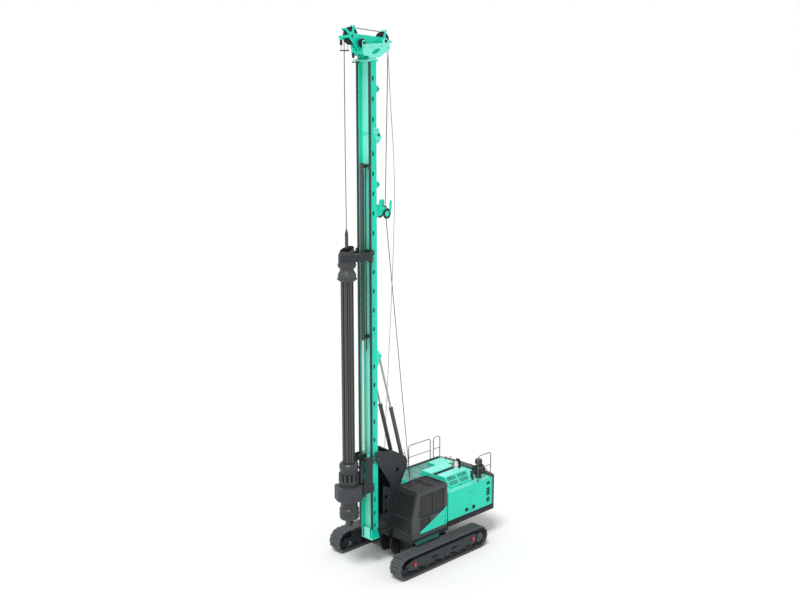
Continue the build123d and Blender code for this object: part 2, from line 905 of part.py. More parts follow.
def rail_panel(x, y0, y1, foot, top, r, middle):
    low = foot + seat
    bend = 80
    corner = r * math.tan(math.radians(22.5))
    path = [(y0, low), (y0, top - bend), (y0 + bend, top), (y1 - bend, top), (y1, top - bend), (y1, low)]
    pieces = []
    for (ya, za), (yb, zb) in zip(path, path[1:]):
        length = math.hypot(yb - ya, zb - za)
        ends = []
        for y, z, way in ((ya, za, -1), (yb, zb, 1)):
            grow = 0 if z == low else way * corner / length
            ends.append((x, y + (yb - ya) * grow, z + (zb - za) * grow))
        pieces.append(bar(ends[0], ends[1], r, least))
    if middle:
        z = (low + top) / 2
        pieces.append(bar((x, y0, z), (x, y1, z), r * 0.8, least))
    return fuse(pieces)


save("handrails", Compound([rail_panel(*row) for row in rail_table]))


# Air cleaner with its rain cap and pipe
def make_air_cleaner():
    low = panel_top + seat
    x = half_w - 350
    y = body_rear - 460
    axis_z = panel_top + 330
    stand = round_z(x, y, 120, low, low + 160, some)
    body = round_y(x, axis_z, 205, y - 170, y + 190, some)
    cap = column(x, y, some, [
        (axis_z + 180, 70),
        (axis_z + 270, 70),
        (axis_z + 270, 150),
        (axis_z + 410, 150),
        (axis_z + 450, 110),
    ])
    pipe = round_y(x, axis_z - 20, 70, y - 430, y - 150, few)
    elbow = round_z(x, y - 400, 70, low, axis_z - 10, few)
    return fuse([stand, body, cap, pipe, elbow])


save("air_cleaner", make_air_cleaner())

# Support frame: two cheeks with a leg and a perforated arm, tied by cross plates
frame_base = deck_top - 20 + seat


def make_support_frame():
    column_front = pivot_y + 300
    outline = [
        (pivot_y - 65, pivot_z + 290),
        (pivot_y - 100, pivot_z + 180),
        (pivot_y - 100, pivot_z - 60),
        (pivot_y + 90, pivot_z - 270),
        (pivot_y + 690, pivot_z - 1180),
        (pivot_y + 700, pivot_z - 1350),
        (column_front + 30, pivot_z - 1160),
        (column_front, pivot_z - 1240),
        (column_front, frame_base + 280),
        (nose_y - 40, frame_base + 120),
        (nose_y + 20, frame_base),
        (nose_y + 680, frame_base),
        (rake_base_y - 260, rake_base_z - 1560),
        (rake_base_y - 340, rake_base_z - 1110),
        (rake_base_y - 180, rake_base_z - 610),
        (rake_base_y + 80, rake_base_z - 160),
        (rake_base_y + 120, rake_base_z + 40),
        (rake_base_y + 60, rake_base_z + 200),
        (rake_base_y - 80, rake_base_z + 340),
        (pivot_y + 860, pivot_z + 130),
    ]
    x0 = cheek_in
    x1 = cheek_in + cheek_t
    cheek = plate_x(outline, x0, x1)
    for drop, r in ((1640, 105), (1940, 60), (2210, 105)):
        cheek = cheek - round_x(column_front + 150, pivot_z - drop, r, x0 - 5, x1 + 5, few)
    cheek = cheek + round_x(column_front + 10, frame_base + 270, 165, x0, x1 + 20, some)
    cheek = cheek - round_x(rake_base_y - 430, rake_base_z - 160, 90, x0 - 5, x1 + 5, some)
    cheek = cheek + round_x(pivot_y, pivot_z, 85, x1 - 1, x1 + 16, some)
    cheek = cheek + round_x(rake_base_y, rake_base_z, 85, x1 - 1, x1 + 16, some)
    tie_half = cheek_in + 1
    ties = [
        block(-tie_half, tie_half, nose_y + 20, nose_y + 670, frame_base, frame_base + 40),
        block(-tie_half, tie_half, nose_y + 20, nose_y + 60, frame_base + 30, frame_base + 540),
        block(-tie_half, tie_half, rake_base_y - 480, rake_base_y - 450, pivot_z - 1880, pivot_z - 380),
        block(-tie_half, tie_half, pivot_y + 500, pivot_y + 900, pivot_z - 580, pivot_z - 550),
    ]
    pivot_pin = pin_x(pivot_y, pivot_z, pivot_r, -tie_half, tie_half)
    rake_pin = pin_x(rake_base_y, rake_base_z, rake_pin_r, -tie_half, tie_half)
    front_y = aux_winch_y - 340
    back_y = aux_winch_y + 360
    low = aux_winch_z - 280
    tray = block(-tie_half, tie_half, front_y, back_y, low, low + 40)
    wall_out = aux_winch_half + 55
    front_wall = block(-wall_out, wall_out, front_y, front_y + 30, low, low + 520)
    back_wall = block(-wall_out, wall_out, back_y - 30, back_y, low, low + 440)
    side = plate_x([
        (front_y, low),
        (back_y, low),
        (back_y, low + 440),
        (front_y, low + 520),
    ], aux_winch_half + 15, wall_out)
    axle = pin_x(aux_winch_y, aux_winch_z, winch_pin_r, -aux_winch_half - 16, aux_winch_half + 16)
    pieces = both_sides(cheek) + ties + [pivot_pin, rake_pin, axle, tray, front_wall, back_wall]
    return fuse(pieces + both_sides(side))


save("support_frame", make_support_frame())


def drum(y, z, r, flange, half):
    """Rope drum with two flanges; it turns on the pins of its stands."""
    body = round_x(y, z, r, -half, half, some)
    ring = round_x(y, z, r + flange, half - 20, half, many)
    shape = fuse([body] + both_sides(ring))
    return shape - pin_x(y, z, winch_pin_r + run_fit, -half - 5, half + 5)


save("winch_drum", drum(winch_y, winch_z, winch_r, flange_h, winch_half))
save("aux_drum", drum(aux_winch_y, aux_winch_z, aux_winch_r, aux_flange_h, aux_winch_half))


# Mast: hollow box with side holes and a channel for the crowd cylinder in its front
def mast_box(z0, z1):
    wall = mast_wall
    outer = block(-mast_half, mast_half, mast_front, mast_back, z0, z1)
    inner = block(
        -mast_half + wall, mast_half - wall, mast_front + wall, mast_back - wall, z0 + 20, z1 - 20
    )
    channel = block(
        -channel_half, channel_half, mast_front - 5, mast_front + channel_depth, z0 - 5, z1 + 5
    )
    trough = block(
        -channel_half - wall, channel_half + wall, mast_front, mast_front + channel_depth + wall, z0, z1
    )
    return outer - inner + trough - channel


hole_half = 58.0
hole_rise = 98.0
hole_y = mast_back - 170
hole_pitch = 712.0
hole_start = mast_low + 3580
low_holes = (150.0, 660.0, 1200.0)


def side_hole(z):
    """Holes with slanted ends, one in each side wall of the mast."""
    ring = []
    for y, up in corners(0, 0, 1, few):
        ring.append((hole_y + hole_half * y, z + hole_rise * up))
    return both_sides(plate_x(ring, mast_half - mast_wall - 5, mast_half + 5))


def hole_heights(first, last):
    count = int((last - first) / hole_pitch) + 1
    return [first + i * hole_pitch for i in range(count)]


def ear(x, t, root, tip, r):
    """Bracket plate from the mast's back, rounded round a pin; root is (low, high), tip is (y, z)."""
    y, z = tip
    y0 = mast_back - 5
    plate = plate_x([(y0, root[0]), (y0, root[1]), (y, z + r), (y, z - r)], x - t / 2, x + t / 2)
    return plate + round_x(y, z, across_flats(r, 12), x - t / 2, x + t / 2, 12)


def rope_ear(z):
    """Small ear of the service rope's guide on the mast's back."""
    return ear(120, 16, (z - 120, z + 120), (mast_back + 290, z), 45)


def make_mast_lower():
    top = mast_seam - seat
    body = mast_box(mast_low, top)
    heights = [mast_low + up for up in low_holes]
    for z in hole_heights(hole_start, mast_seam - 400):
        if abs(z - rake_top_z - 300) > 200:
            heights.append(z)
    for z in heights:
        for cut in side_hole(z):
            body = body - cut
    neck = block(-150, 150, mast_front + 30, mast_back + 10, foot_z + 20, mast_low + 10)
    webs = []
    for x in (-262, 0, 262):
        webs.append(plate_x([
            (mast_front + 20, foot_z + 20),
            (mast_back + 130, foot_z + 20),
            (mast_back, mast_low + 5),
            (mast_front + 20, mast_low + 5),
        ], x - 10, x + 10))
    foot = plate_z([
        (-290, mast_front + 20),
        (290, mast_front + 20),
        (290, mast_back + 80),
        (230, mast_back + 140),
        (-230, mast_back + 140),
        (-290, mast_back + 80),
    ], foot_z, foot_z + 30)
    hub = round_x(pivot_y, pivot_z, 85, -cheek_in + 4, cheek_in - 4, some)
    rake_root = (rake_top_z - 330, rake_top_z + 240)
    rake_base = block(-385, 385, mast_back - 5, mast_back + 25, rake_root[0], rake_root[1])
    ears = []
    for x in (rake_x - 75, rake_x + 62):
        ears += both_sides(ear(x, 24, rake_root, (rake_top_y, rake_top_z), 70))
    bracket_root = (bracket_z - 330, bracket_z + 300)
    bracket_ear = ear(bracket_half + 11, 22, bracket_root, (bracket_y, bracket_z), 95)
    ears += both_sides(bracket_ear)
    ears.append(pin_x(bracket_y, bracket_z, sheave_pin_r, -bracket_half, bracket_half))
    ears += both_sides(rope_ear(mast_seam - 1850))
    fold_ear = ear(230, 40, (mast_seam - 420, top), (fold_y, fold_z), 60)
    fold_ear = fold_ear - pin_x(fold_y, fold_z, fold_pin_r + run_fit, 200, 260)
    fold_ear = fold_ear - block(0, 400, mast_back - 6, fold_y + 100, top, mast_seam + 100)
    ears += both_sides(fold_ear)
    flange = block(-mast_half - 60, mast_half + 60, mast_back - 2, mast_back + 20, top - 30, top)
    shape = fuse([body, neck, foot, hub, flange, rake_base] + webs + ears)
    return shape - pin_x(pivot_y, pivot_z, pivot_r + run_fit, -cheek_in, cheek_in)


save("mast_lower", make_mast_lower())


def make_rails(z0, z1):
    """Guide rails on the mast's front edges; each laps round the corner."""
    rail = block(mast_half + seat, rail_out, rail_front, mast_front + rail_lap, z0, z1)
    rail = rail + block(rail_out - rail_w, rail_out, rail_front, mast_front - seat, z0, z1)
    return Compound(both_sides(rail))


save("rails_lower", make_rails(mast_low, mast_seam - seat))
save("rails_top", make_rails(mast_seam, mast_high - seat))
flange_t = 40.0


def make_mast_top():
    body = mast_box(mast_seam, mast_high)
    for z in hole_heights(mast_seam + 490, mast_high - 400):
        for cut in side_hole(z):
            body = body - cut
    lug = plate_x([
        (mast_back - 5, mast_seam),
        (mast_back - 5, mast_seam + 380),
        (fold_y + 60, mast_seam + 60),
        (fold_y + 60, fold_z),
        (fold_y - 55, fold_z),
        (fold_y - 55, mast_seam),
    ], 161, 199)
    lug = lug + round_x(fold_y, fold_z, 58, 161, 199, 12)
    pin = pin_x(fold_y, fold_z, fold_pin_r, -260, 260)
    flange = block(-400, 400, rail_front - 20, mast_back + 25, mast_high, mast_high + flange_t)
    return fuse([body, pin, flange] + both_sides(lug) + both_sides(rope_ear(mast_seam + 1540)))


save("mast_top", make_mast_top())

# Masthead: middle plates that carry the two hoist sheaves, outer plates with the aux sheave
head_base = mast_high + flange_t + seat
# Rope guard arms: y and z of their sheave, angle in degrees, reach beyond its rim
guard_table = [
    (head_front_y, head_front_z, 72, 75),
    (head_front_y, head_front_z, 142, 100),
    (head_front_y, head_front_z, 185, 165),
    (head_rear_y, head_rear_z, 73, 75),
    (head_rear_y, head_rear_z, 354, 90),
]


def guard_arm(cy, cz, angle, reach):
    """Tapering arm of a middle plate that points away from the sheave's axle."""
    ca = math.cos(math.radians(angle))
    sa = math.sin(math.radians(angle))
    points = []
    for r, w in ((60, 62), (sheave_r + reach, 28), (sheave_r + reach, -28), (60, -62)):
        points.append((cy + r * ca - w * sa, cz + r * sa + w * ca))
    return plate_x(points, head_x, head_x + head_t)


def make_masthead():
    fy, fz = head_front_y, head_front_z
    ry, rz = head_rear_y, head_rear_z
    low = head_base + 20
    base = block(-390, 390, rail_front - 10, mast_back + 15, head_base, head_base + 30)
    plate = plate_x([
        (mast_front, low),
        (mast_front - 90, low + 60),
        (fy + 170, fz - 380),
        (fy - 110, fz - 100),
        (fy - 80, fz + 120),
        (fy + 60, fz + 120),
        (fy + 290, fz + 60),
        ((fy + ry) / 2, (fz + rz) / 2 + 100),
        (ry - 200, rz + 120),
        (ry + 70, rz + 90),
        (ry + 90, rz - 80),
        (ry - 80, rz - 200),
        (mast_back + 260, mast_high + 330),
        (mast_back + 180, mast_high + 150),
        (mast_back, low),
    ], head_x, head_x + head_t)
    guard_rods = []
    for cy, cz, angle, reach in guard_table:
        plate = plate + guard_arm(cy, cz, angle, reach)
        y = cy + (sheave_r + reach - 30) * math.cos(math.radians(angle))
        z = cz + (sheave_r + reach - 30) * math.sin(math.radians(angle))
        guard_rods.append(round_x(y, z, 15, -head_x - 1, head_x + 1, least))
    axles = []
    for cy, cz in ((fy, fz), (ry, rz)):
        plate = plate + round_x(cy, cz, 70, head_x + head_t - 1, head_x + head_t + 14, few)
        axles.append(pin_x(cy, cz, sheave_pin_r, -head_x - 1, head_x + 1))
    roller_y = ry - 110
    roller_z = rz - 20
    side_low = mast_high + 120
    side_high = mast_high + 610
    outer = plate_x([
        (mast_front, low),
        (mast_front, side_low + 50),
        (aux_y - 10, mast_high + 210),
        (aux_y - 70, aux_z - 60),
        (aux_y - 70, aux_z + 50),
        (aux_y - 35, aux_z + 95),
        (aux_y + 35, aux_z + 95),
        (aux_y + 70, side_high - 20),
        (mast_back + 320, side_high + 20),
        (roller_y - 60, roller_z + 80),
        (roller_y, roller_z + 110),
        (roller_y + 60, roller_z + 90),
        (ry + 80, rz - 90),
        (ry + 80, rz - 310),
        (mast_back + 175, side_low + 20),
        (mast_back, side_low),
        (mast_back, low),
    ], side_x, side_x + head_t)
    window = []
    for y, z in corners(0, 0, 1, 10):
        window.append((mast_back + 25 + 200 * y, mast_high + 350 + 80 * z + 60 * y))
    outer = outer - plate_x(window, side_x - 5, side_x + head_t + 5)
    axles.append(pin_x(aux_y, aux_z, aux_pin_r, head_x + head_t - 1, side_x + 1))
    axles.append(round_x(roller_y, roller_z, 55, head_x + head_t - 1, side_x + 1, some))
    front_top = aux_z - aux_r - 10
    front = block(-side_x - 5, side_x + 5, aux_y, aux_y + 20, mast_high + 235, front_top)
    cross_places = [
        (mast_front + 40, mast_high + 260),
        (mast_back + 120, mast_high + 260),
        ((ry + mast_back) / 2, rz - 240),
    ]
    crosses = [round_x(y, z, 35, -side_x - 1, side_x + 1, least) for y, z in cross_places]
    shelf = block(-side_x - 5, side_x + 5, mast_front + 5, mast_back - 5, low + 40, low + 70)
    webs = []
    for x in (-200, 200):
        webs.append(block(x - 10, x + 10, mast_front + 5, mast_back - 5, low, low + 60))
    plates = both_sides(plate) + both_sides(outer)
    return fuse([base, shelf, front] + plates + axles + crosses + guard_rods + webs)


save("masthead", make_masthead())


def sheave(x, y, z, r, w, pin_r):
    """Rope wheel with a groove, bored for the pin it turns on; its axis lies along X."""
    rings = []
    for side, radius in ((-0.5, r), (-0.4, r), (0, r * 0.9), (0.4, r), (0.5, r)):
        rings.append([(x + side * w, a, b) for a, b in corners(y, z, radius, many)])
    return stacked(rings) - pin_x(y, z, pin_r + run_fit, x - w, x + w)


def lighten(wheel, y, z, r, w):
    """Six holes through the web of a sheave."""
    for i in range(6):
        a = i * math.pi / 3
        hole_centre = (y + 0.55 * r * math.cos(a), z + 0.55 * r * math.sin(a))
        wheel = wheel - round_x(*hole_centre, 0.15 * r, -w, w, few)
    return wheel


head_sheaves = [
    ("sheave_front", head_front_y, head_front_z),
    ("sheave_rear", head_rear_y, head_rear_z),
]
for node, y, z in head_sheaves:
    wheel = sheave(0, y, z, sheave_r, sheave_w, sheave_pin_r)
    save(node, lighten(wheel, y, z, sheave_r, sheave_w))
save("sheave_aux", sheave(aux_x, aux_y, aux_z, aux_r, aux_w, aux_pin_r))
save("sheave_bracket", sheave(0, bracket_y, bracket_z, bracket_r, bracket_w, sheave_pin_r))


# Crowd cylinder: the barrel hangs on the mast, the rod moves the sledge
def make_crowd_barrel():
    low = crowd_barrel_low
    high = crowd_barrel_high
    back = mast_front + channel_depth - seat
    pieces = [round_z(0, crowd_y, crowd_barrel_r, low, high, some)]
    for z in (low + 60, (low + high) / 2, high - 160):
        pieces.append(block(-95, 95, crowd_y - 20, back, z, z + 110))
    return fuse(pieces) - pin_z(0, crowd_y, crowd_rod_r + run_fit, low - 5, high - 60)


save("crowd_barrel", make_crowd_barrel())
save("crowd_rod", pin_z(0, crowd_y, crowd_rod_r, crowd_rod_low, crowd_rod_top))

# Raking cylinders between the support frame and the mast
rake_way = Vector(0, rake_top_y - rake_base_y, rake_top_z - rake_base_z)
rake_len = rake_way.length
rake_way = rake_way.normalized()


def rake_point(s):
    return (rake_x, rake_base_y + rake_way.Y * s, rake_base_z + rake_way.Z * s)


def make_rake_barrel():
    top = rake_point(rake_barrel_len)
    barrel = bar(rake_point(60), top, rake_barrel_r, some)
    gland = bar(rake_point(rake_barrel_len - 90), top, rake_barrel_r + 8, some)
    eye = round_x(rake_base_y, rake_base_z, 85, rake_x - 45, rake_x + 45, some)
    shape = barrel + gland + eye
    shape = shape - rod(rake_point(500), rake_point(rake_barrel_len + 5), rake_rod_r + run_fit)
    return shape - pin_x(rake_base_y, rake_base_z, rake_pin_r + run_fit, rake_x - 50, rake_x + 50)


def make_rake_rod():
    body = rod(rake_point(rake_barrel_len - 900), rake_point(rake_len), rake_rod_r)
    eye = round_x(rake_top_y, rake_top_z, 62, rake_x - 40, rake_x + 35, some)
    return body + eye


rake_barrel = make_rake_barrel()
rake_rod = make_rake_rod()
save("rake_barrel_left", rake_barrel)
save("rake_barrel_right", mirror_x(rake_barrel))
save("rake_rod_left", rake_rod)
save("rake_rod_right", mirror_x(rake_rod))

# Sledge on the mast's rails
pad_t = 45.0
pad_front = rail_front - slide_gap
pad_face = pad_front - 40


def rail_shoe(z0, z1):
    """Slide pad round one rail; its lips hold it on."""
    inner = rail_out + slide_gap
    back = mast_front + rail_lap + slide_gap
    pad = block(rail_out - rail_w, inner + pad_t, pad_front - pad_t, pad_front, z0, z1)
    pad = pad + block(inner, inner + pad_t, pad_front - pad_t, back + 40, z0, z1)
    return pad + block(mast_half + 12, inner + pad_t, back, back + 40, z0, z1)


def make_sledge():
    shoes = []
    for z in (sledge_low, sledge_high - shoe_h):
        shoes += both_sides(rail_shoe(z, z + shoe_h))
    side = plate_x([
        (pad_face + 5, sledge_low),
        (pad_face + 5, sledge_high),
        (case_rear - 25, sledge_high),
        (case_rear - 25, sledge_high - 200),
        (case_rear - 60, sledge_low + 750),
        (case_rear - 175, case_high - 20),
        (case_rear - 175, sledge_low),
    ], 380, 405)
    cross = block(-400, 400, case_rear + seat, case_rear + 40, sledge_low, case_high - 40)
    bridge = block(-400, 400, case_rear - 20, case_rear + 15, sledge_high - 170, sledge_high)
    lug_front = case_rear - 20
    rod_lug = block(-60, 60, lug_front, crowd_y - crowd_rod_r - seat, sledge_high - 170, crowd_rod_low)
    rod_eye = block(-90, 90, crowd_y - 70, crowd_y + 60, sledge_high - 80, crowd_rod_low - seat)
    return fuse(shoes + both_sides(side) + [cross, bridge, rod_lug, rod_eye])


save("sledge", make_sledge())

# Gear case of the rotary with two motors
case_bore_r = across_flats(sleeve_r + turn_gap, many)
neck_h = 60.0


def make_gear_case():
    case = round_z(0, kelly_y, case_r, case_low, case_high, many)
    body = plate_z([
        (-case_r, kelly_y),
        (case_r, kelly_y),
        (360, case_rear - 210),
        (360, case_rear),
        (-360, case_rear),
        (-360, case_rear - 210),
    ], case_low + 30, case_high - 30)
    lobes = []
    for x, y, r in ((330, 150, 180), (300, -240, 170)):
        lobes += both_sides(round_z(x, kelly_y + y, r, case_low + 15, case_high + 15, some))
    motor_y = case_rear - 105
    motor = round_z(215, motor_y, 92, case_high - 35, case_high + 600, some)
    motor = motor + block(140, 290, motor_y - 75, motor_y + 75, case_high + 580, case_high + 720)
    neck = round_z(0, kelly_y, 330, case_low - neck_h, case_high + neck_h, many)
    bore = round_z(0, kelly_y, case_bore_r, case_low - 100, case_high + 100, many)
    return fuse([case, body, neck] + lobes + both_sides(motor)) - bore


save("gear_case", make_gear_case())

# Drive sleeve: castellated collar above the case, lower collar below it
notch_count = 14
sleeve_bore_r = across_flats(rib_r + turn_gap, many)


def make_drive_sleeve():
    top = case_high + neck_h + seat
    low = case_low - neck_h - seat
    body = column(0, kelly_y, many, [
        (kelly_low, 340),
        (kelly_low + 50, 368),
        (kelly_low + 400, 368),
        (kelly_low + 450, 325),
        (low, 325),
        (low, sleeve_r),
        (top, sleeve_r),
        (top, 325),
        (top + 130, 325),
        (top + 130, 388),
        (top + 460, 388),
        (top + 460, 335),
        (top + 580, 335),
        (top + 640, 362),
        (top + 800, 362),
        (top + 860, 310),
    ])
    for i in range(notch_count):
        angle = i * 360 / notch_count
        place = Pos(0, kelly_y, top + 330) * Rot(0, 0, angle) * Pos(388, 0, 0)
        body = body - place * Box(44, 66, 270)
    return body - round_z(0, kelly_y, sleeve_bore_r, kelly_low - 5, top + 900, many)


save("drive_sleeve", make_drive_sleeve())

# Kelly: ribbed outer tube with its head, hung in the guide that rides the rails
guide_low = guide_z - 130
guide_high = guide_z + 150
rope_top = guide_z + 910


def make_kelly_outer():
    body = column(0, kelly_y, many, [
        (kelly_low, kelly_r),
        (guide_low - 690, kelly_r),
        (guide_low - 690, 300),
        (guide_low - 640, 335),
        (guide_low - 460, 335),
        (guide_low - 300, 252),
        (guide_low, 252),
        (guide_low, neck_r),
        (guide_high, neck_r),
        (guide_high, 240),
        (guide_high + 110, 240),
        (guide_high + 210, 62),
        (rope_top, 62),
    ])
    rib = block(
        kelly_r - 20, rib_r, kelly_y - rib_w / 2, kelly_y + rib_w / 2, kelly_low + 120, guide_low - 680
    )
    for i in range(rib_count):
        angle = 30 + i * 360 / rib_count
        body = body + Pos(0, kelly_y, 0) * Rot(0, 0, angle) * Pos(0, -kelly_y, 0) * rib
    bore_r = across_flats(inner_kelly_r + run_fit, many)
    return body - round_z(0, kelly_y, bore_r, kelly_low - 5, guide_low + 60, many)


save("kelly_outer", make_kelly_outer())


def make_kelly_guide():
    z0 = guide_low + seat
    z1 = guide_high - seat
    ring = round_z(0, kelly_y, 310, z0, z1, many)
    arm = plate_z([
        (150, kelly_y),
        (300, kelly_y),
        (rail_out + 45, pad_face - 60),
        (rail_out + 45, pad_face + 5),
        (240, pad_face + 5),
        (150, pad_face - 480),
    ], z0, z1)
    shoe = rail_shoe(guide_z - 220, guide_z + 240)
    shape = fuse([ring] + both_sides(arm) + both_sides(shoe))
    bore_r = across_flats(neck_r + turn_gap, many)
    return shape - round_z(0, kelly_y, bore_r, z0 - 10, z1 + 10, many)


save("kelly_guide", make_kelly_guide())


# Inner kelly tube with the square stub that takes the drilling tool
def make_kelly_inner():
    outer_r = across_flats(inner_kelly_r, many)
    hollow_r = across_flats(inner_kelly_r - inner_kelly_wall, many)
    top = guide_low - 320
    tube = round_z(0, kelly_y, outer_r, kelly_low + 20, top, many)
    tube = tube - round_z(0, kelly_y, hollow_r, kelly_low + 260, top + 10, many)
    half = stub_half
    stub = block(-half, half, kelly_y - half, kelly_y + half, stub_low, kelly_low + 25)
    return tube + stub - pin_x(kelly_y, stub_low + pin_up, pin_bore_r, -half - 5, half + 5)


save("kelly_inner", make_kelly_inner())
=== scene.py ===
"""Dresses the rotary piling rig with paint, ropes, hoses, bolts and covers, and sets up studio and camera."""
import json
import math

import bpy
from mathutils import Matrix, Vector


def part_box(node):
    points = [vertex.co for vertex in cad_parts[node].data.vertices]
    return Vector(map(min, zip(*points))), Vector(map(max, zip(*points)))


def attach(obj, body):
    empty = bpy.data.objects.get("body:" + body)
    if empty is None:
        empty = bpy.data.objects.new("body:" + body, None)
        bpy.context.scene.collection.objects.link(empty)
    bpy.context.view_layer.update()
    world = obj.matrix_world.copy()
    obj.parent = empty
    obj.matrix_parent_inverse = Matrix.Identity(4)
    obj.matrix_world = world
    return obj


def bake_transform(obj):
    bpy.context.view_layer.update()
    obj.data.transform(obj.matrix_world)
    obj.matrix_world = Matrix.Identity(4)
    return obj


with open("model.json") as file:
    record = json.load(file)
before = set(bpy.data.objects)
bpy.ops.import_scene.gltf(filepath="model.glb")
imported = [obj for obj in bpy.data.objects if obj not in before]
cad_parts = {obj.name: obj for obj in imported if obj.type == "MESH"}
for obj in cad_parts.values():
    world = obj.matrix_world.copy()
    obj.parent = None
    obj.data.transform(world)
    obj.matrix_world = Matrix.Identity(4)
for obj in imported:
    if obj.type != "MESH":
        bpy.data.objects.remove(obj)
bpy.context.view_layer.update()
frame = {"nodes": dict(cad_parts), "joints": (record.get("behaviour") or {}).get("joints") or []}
nodes = frame["nodes"]

# Softness and noise that all finishes share
edge_radius = 0.004
grain_depth = 0.004
coat_rough = 0.12
gloss_drift = 0.06
noise_span = (0.3, 0.7)
grey_dust = (0.30, 0.29, 0.27, 1.0)
head_outer_x = 0.286    # just inside the masthead's outer plates


def placed(name, data, look=None):
    """New object in the scene; its -Z looks along a direction, where one is given."""
    obj = bpy.data.objects.new(name, data)
    if look is not None:
        obj.rotation_mode = "QUATERNION"
        obj.rotation_quaternion = look.to_track_quat("-Z", "Y")
    bpy.context.scene.collection.objects.link(obj)
    return obj


# Materials
def srgb(r, g, b):
    """Linear colour for one given in steps from 0 to 255."""
    shares = [v / 255 for v in (r, g, b)]
    linear = [v / 12.92 if v <= 0.04045 else ((v + 0.055) / 1.055) ** 2.4 for v in shares]
    return (*linear, 1.0)


def blank_material(name):
    mat = bpy.data.materials.new(name)
    mat.use_nodes = True
    mat.node_tree.nodes.clear()
    return mat


def add(tree, kind, values, **settings):
    """New shader node: values go into its sockets, as numbers, colours or links, settings into the node."""
    node = tree.nodes.new("ShaderNode" + kind)
    for name, value in settings.items():
        setattr(node, name, value)
    for socket, value in values.items():
        if isinstance(value, bpy.types.NodeSocket):
            tree.links.new(value, node.inputs[socket])
        else:
            node.inputs[socket].default_value = value
    return node


def noise(tree, place, scale, detail=2.0):
    return add(tree, "TexNoise", {"Vector": place, "Scale": scale, "Detail": detail}).outputs["Fac"]


def ranged(tree, value, source, target):
    """Map a value from one range to another."""
    sockets = ("Value", "From Min", "From Max", "To Min", "To Max")
    return add(tree, "MapRange", dict(zip(sockets, (value, *source, *target)))).outputs[0]


def mixed(tree, factor, base, color):
    """Go from a base colour to another one as the factor rises."""
    values = {"Factor": factor, "A": base, "B": color}
    return add(tree, "Mix", values, data_type="RGBA").outputs["Result"]


def coordinate(tree, vector, axis):
    return add(tree, "SeparateXYZ", {0: vector}).outputs[axis]


def beyond_plates(tree, place):
    """One where a point stands out sideways beyond the masthead's outer plates, zero elsewhere."""
    away = add(tree, "Math", {0: coordinate(tree, place, "X")}, operation="ABSOLUTE").outputs[0]
    return add(tree, "Math", {0: away, 1: head_outer_x}, operation="GREATER_THAN").outputs[0]


def relief(tree, fine, grain):
    """Normal with softened edges and, where there is a grain, fine bumps."""
    normal = add(tree, "Bevel", {"Radius": edge_radius}, samples=4).outputs[0]
    if grain > 0:
        values = {"Strength": grain, "Distance": grain_depth, "Height": fine, "Normal": normal}
        normal = add(tree, "Bump", values).outputs[0]
    return normal


def surface(name, color, rough=0.5, metallic=0.0, coat=0.0, vary=0.06, scale=3.0, grain=0.0,
            grain_scale=60.0, dust_and_top_light=0.0, shine=0.5, dust_and_top_light_color=grey_dust, outer=None, front=None):
    """Paint or metal: a slow colour drift, fine grain, softened edges and, on upward faces, grey dust on the
    dark finishes and a painted highlight of the overhead light on the teal paints.

    outer is a paler colour for whatever stands out beyond the masthead's outer plates,
    front a painted highlight on the faces that look forward, where the key light falls.
    """
    mat = blank_material(name)
    tree = mat.node_tree
    coord = add(tree, "TexCoord", {})
    place = coord.outputs["Object"]
    drift = ranged(tree, noise(tree, place, scale, 4.0), noise_span, (1.0 - vary, 1.0 + vary))
    tint = add(tree, "HueSaturation", {"Color": srgb(*color), "Value": drift}).outputs[0]
    if outer is not None:
        tint = mixed(tree, beyond_plates(tree, place), tint, srgb(*outer))
    # painted highlight of the key light on the faces that look forward
    if front is not None:
        front_lit = ranged(tree, coordinate(tree, coord.outputs["Normal"], "Y"), (-0.6, -0.95), (0.0, 0.8))
        tint = mixed(tree, front_lit, tint, srgb(*front))
    # upward faces: grey dust, and on the teal paints a painted highlight where the overhead light falls
    if dust_and_top_light > 0:
        height = coordinate(tree, add(tree, "NewGeometry", {}).outputs["Normal"], "Z")
        tint = mixed(tree, ranged(tree, height, (0.5, 1.0), (0.0, dust_and_top_light)), tint, dust_and_top_light_color)
    fine = noise(tree, place, grain_scale, 3.0)
    gloss = (max(rough - gloss_drift, 0.02), min(rough + gloss_drift, 1.0))
    shader = add(tree, "BsdfPrincipled", {
        "Base Color": tint, "Metallic": metallic, "Specular IOR Level": shine, "Coat Weight": coat,
        "Coat Roughness": coat_rough, "Roughness": ranged(tree, fine, noise_span, gloss),
        "Normal": relief(tree, fine, grain),
    })
    add(tree, "OutputMaterial", {0: shader.outputs[0]})
    return mat


def make_glass():
    """Dark tinted glass: mostly its own brown-grey with a clear share and a calm reflection."""
    mat = blank_material("tinted_glass")
    tree = mat.node_tree
    factor = noise(tree, add(tree, "TexCoord", {}).outputs["Object"], 1.5)
    tint = mixed(tree, factor, srgb(50, 51, 48), srgb(56, 58, 55))
    pane = add(tree, "BsdfPrincipled", {"Base Color": tint, "Roughness": 0.08, "Specular IOR Level": 0.25})
    clear = add(tree, "BsdfTransparent", {"Color": (0.45, 0.45, 0.43, 1.0)})
    mix = add(tree, "MixShader", {"Fac": 0.88, 1: clear.outputs[0], 2: pane.outputs[0]})
    add(tree, "OutputMaterial", {0: mix.outputs[0]})
    return mat


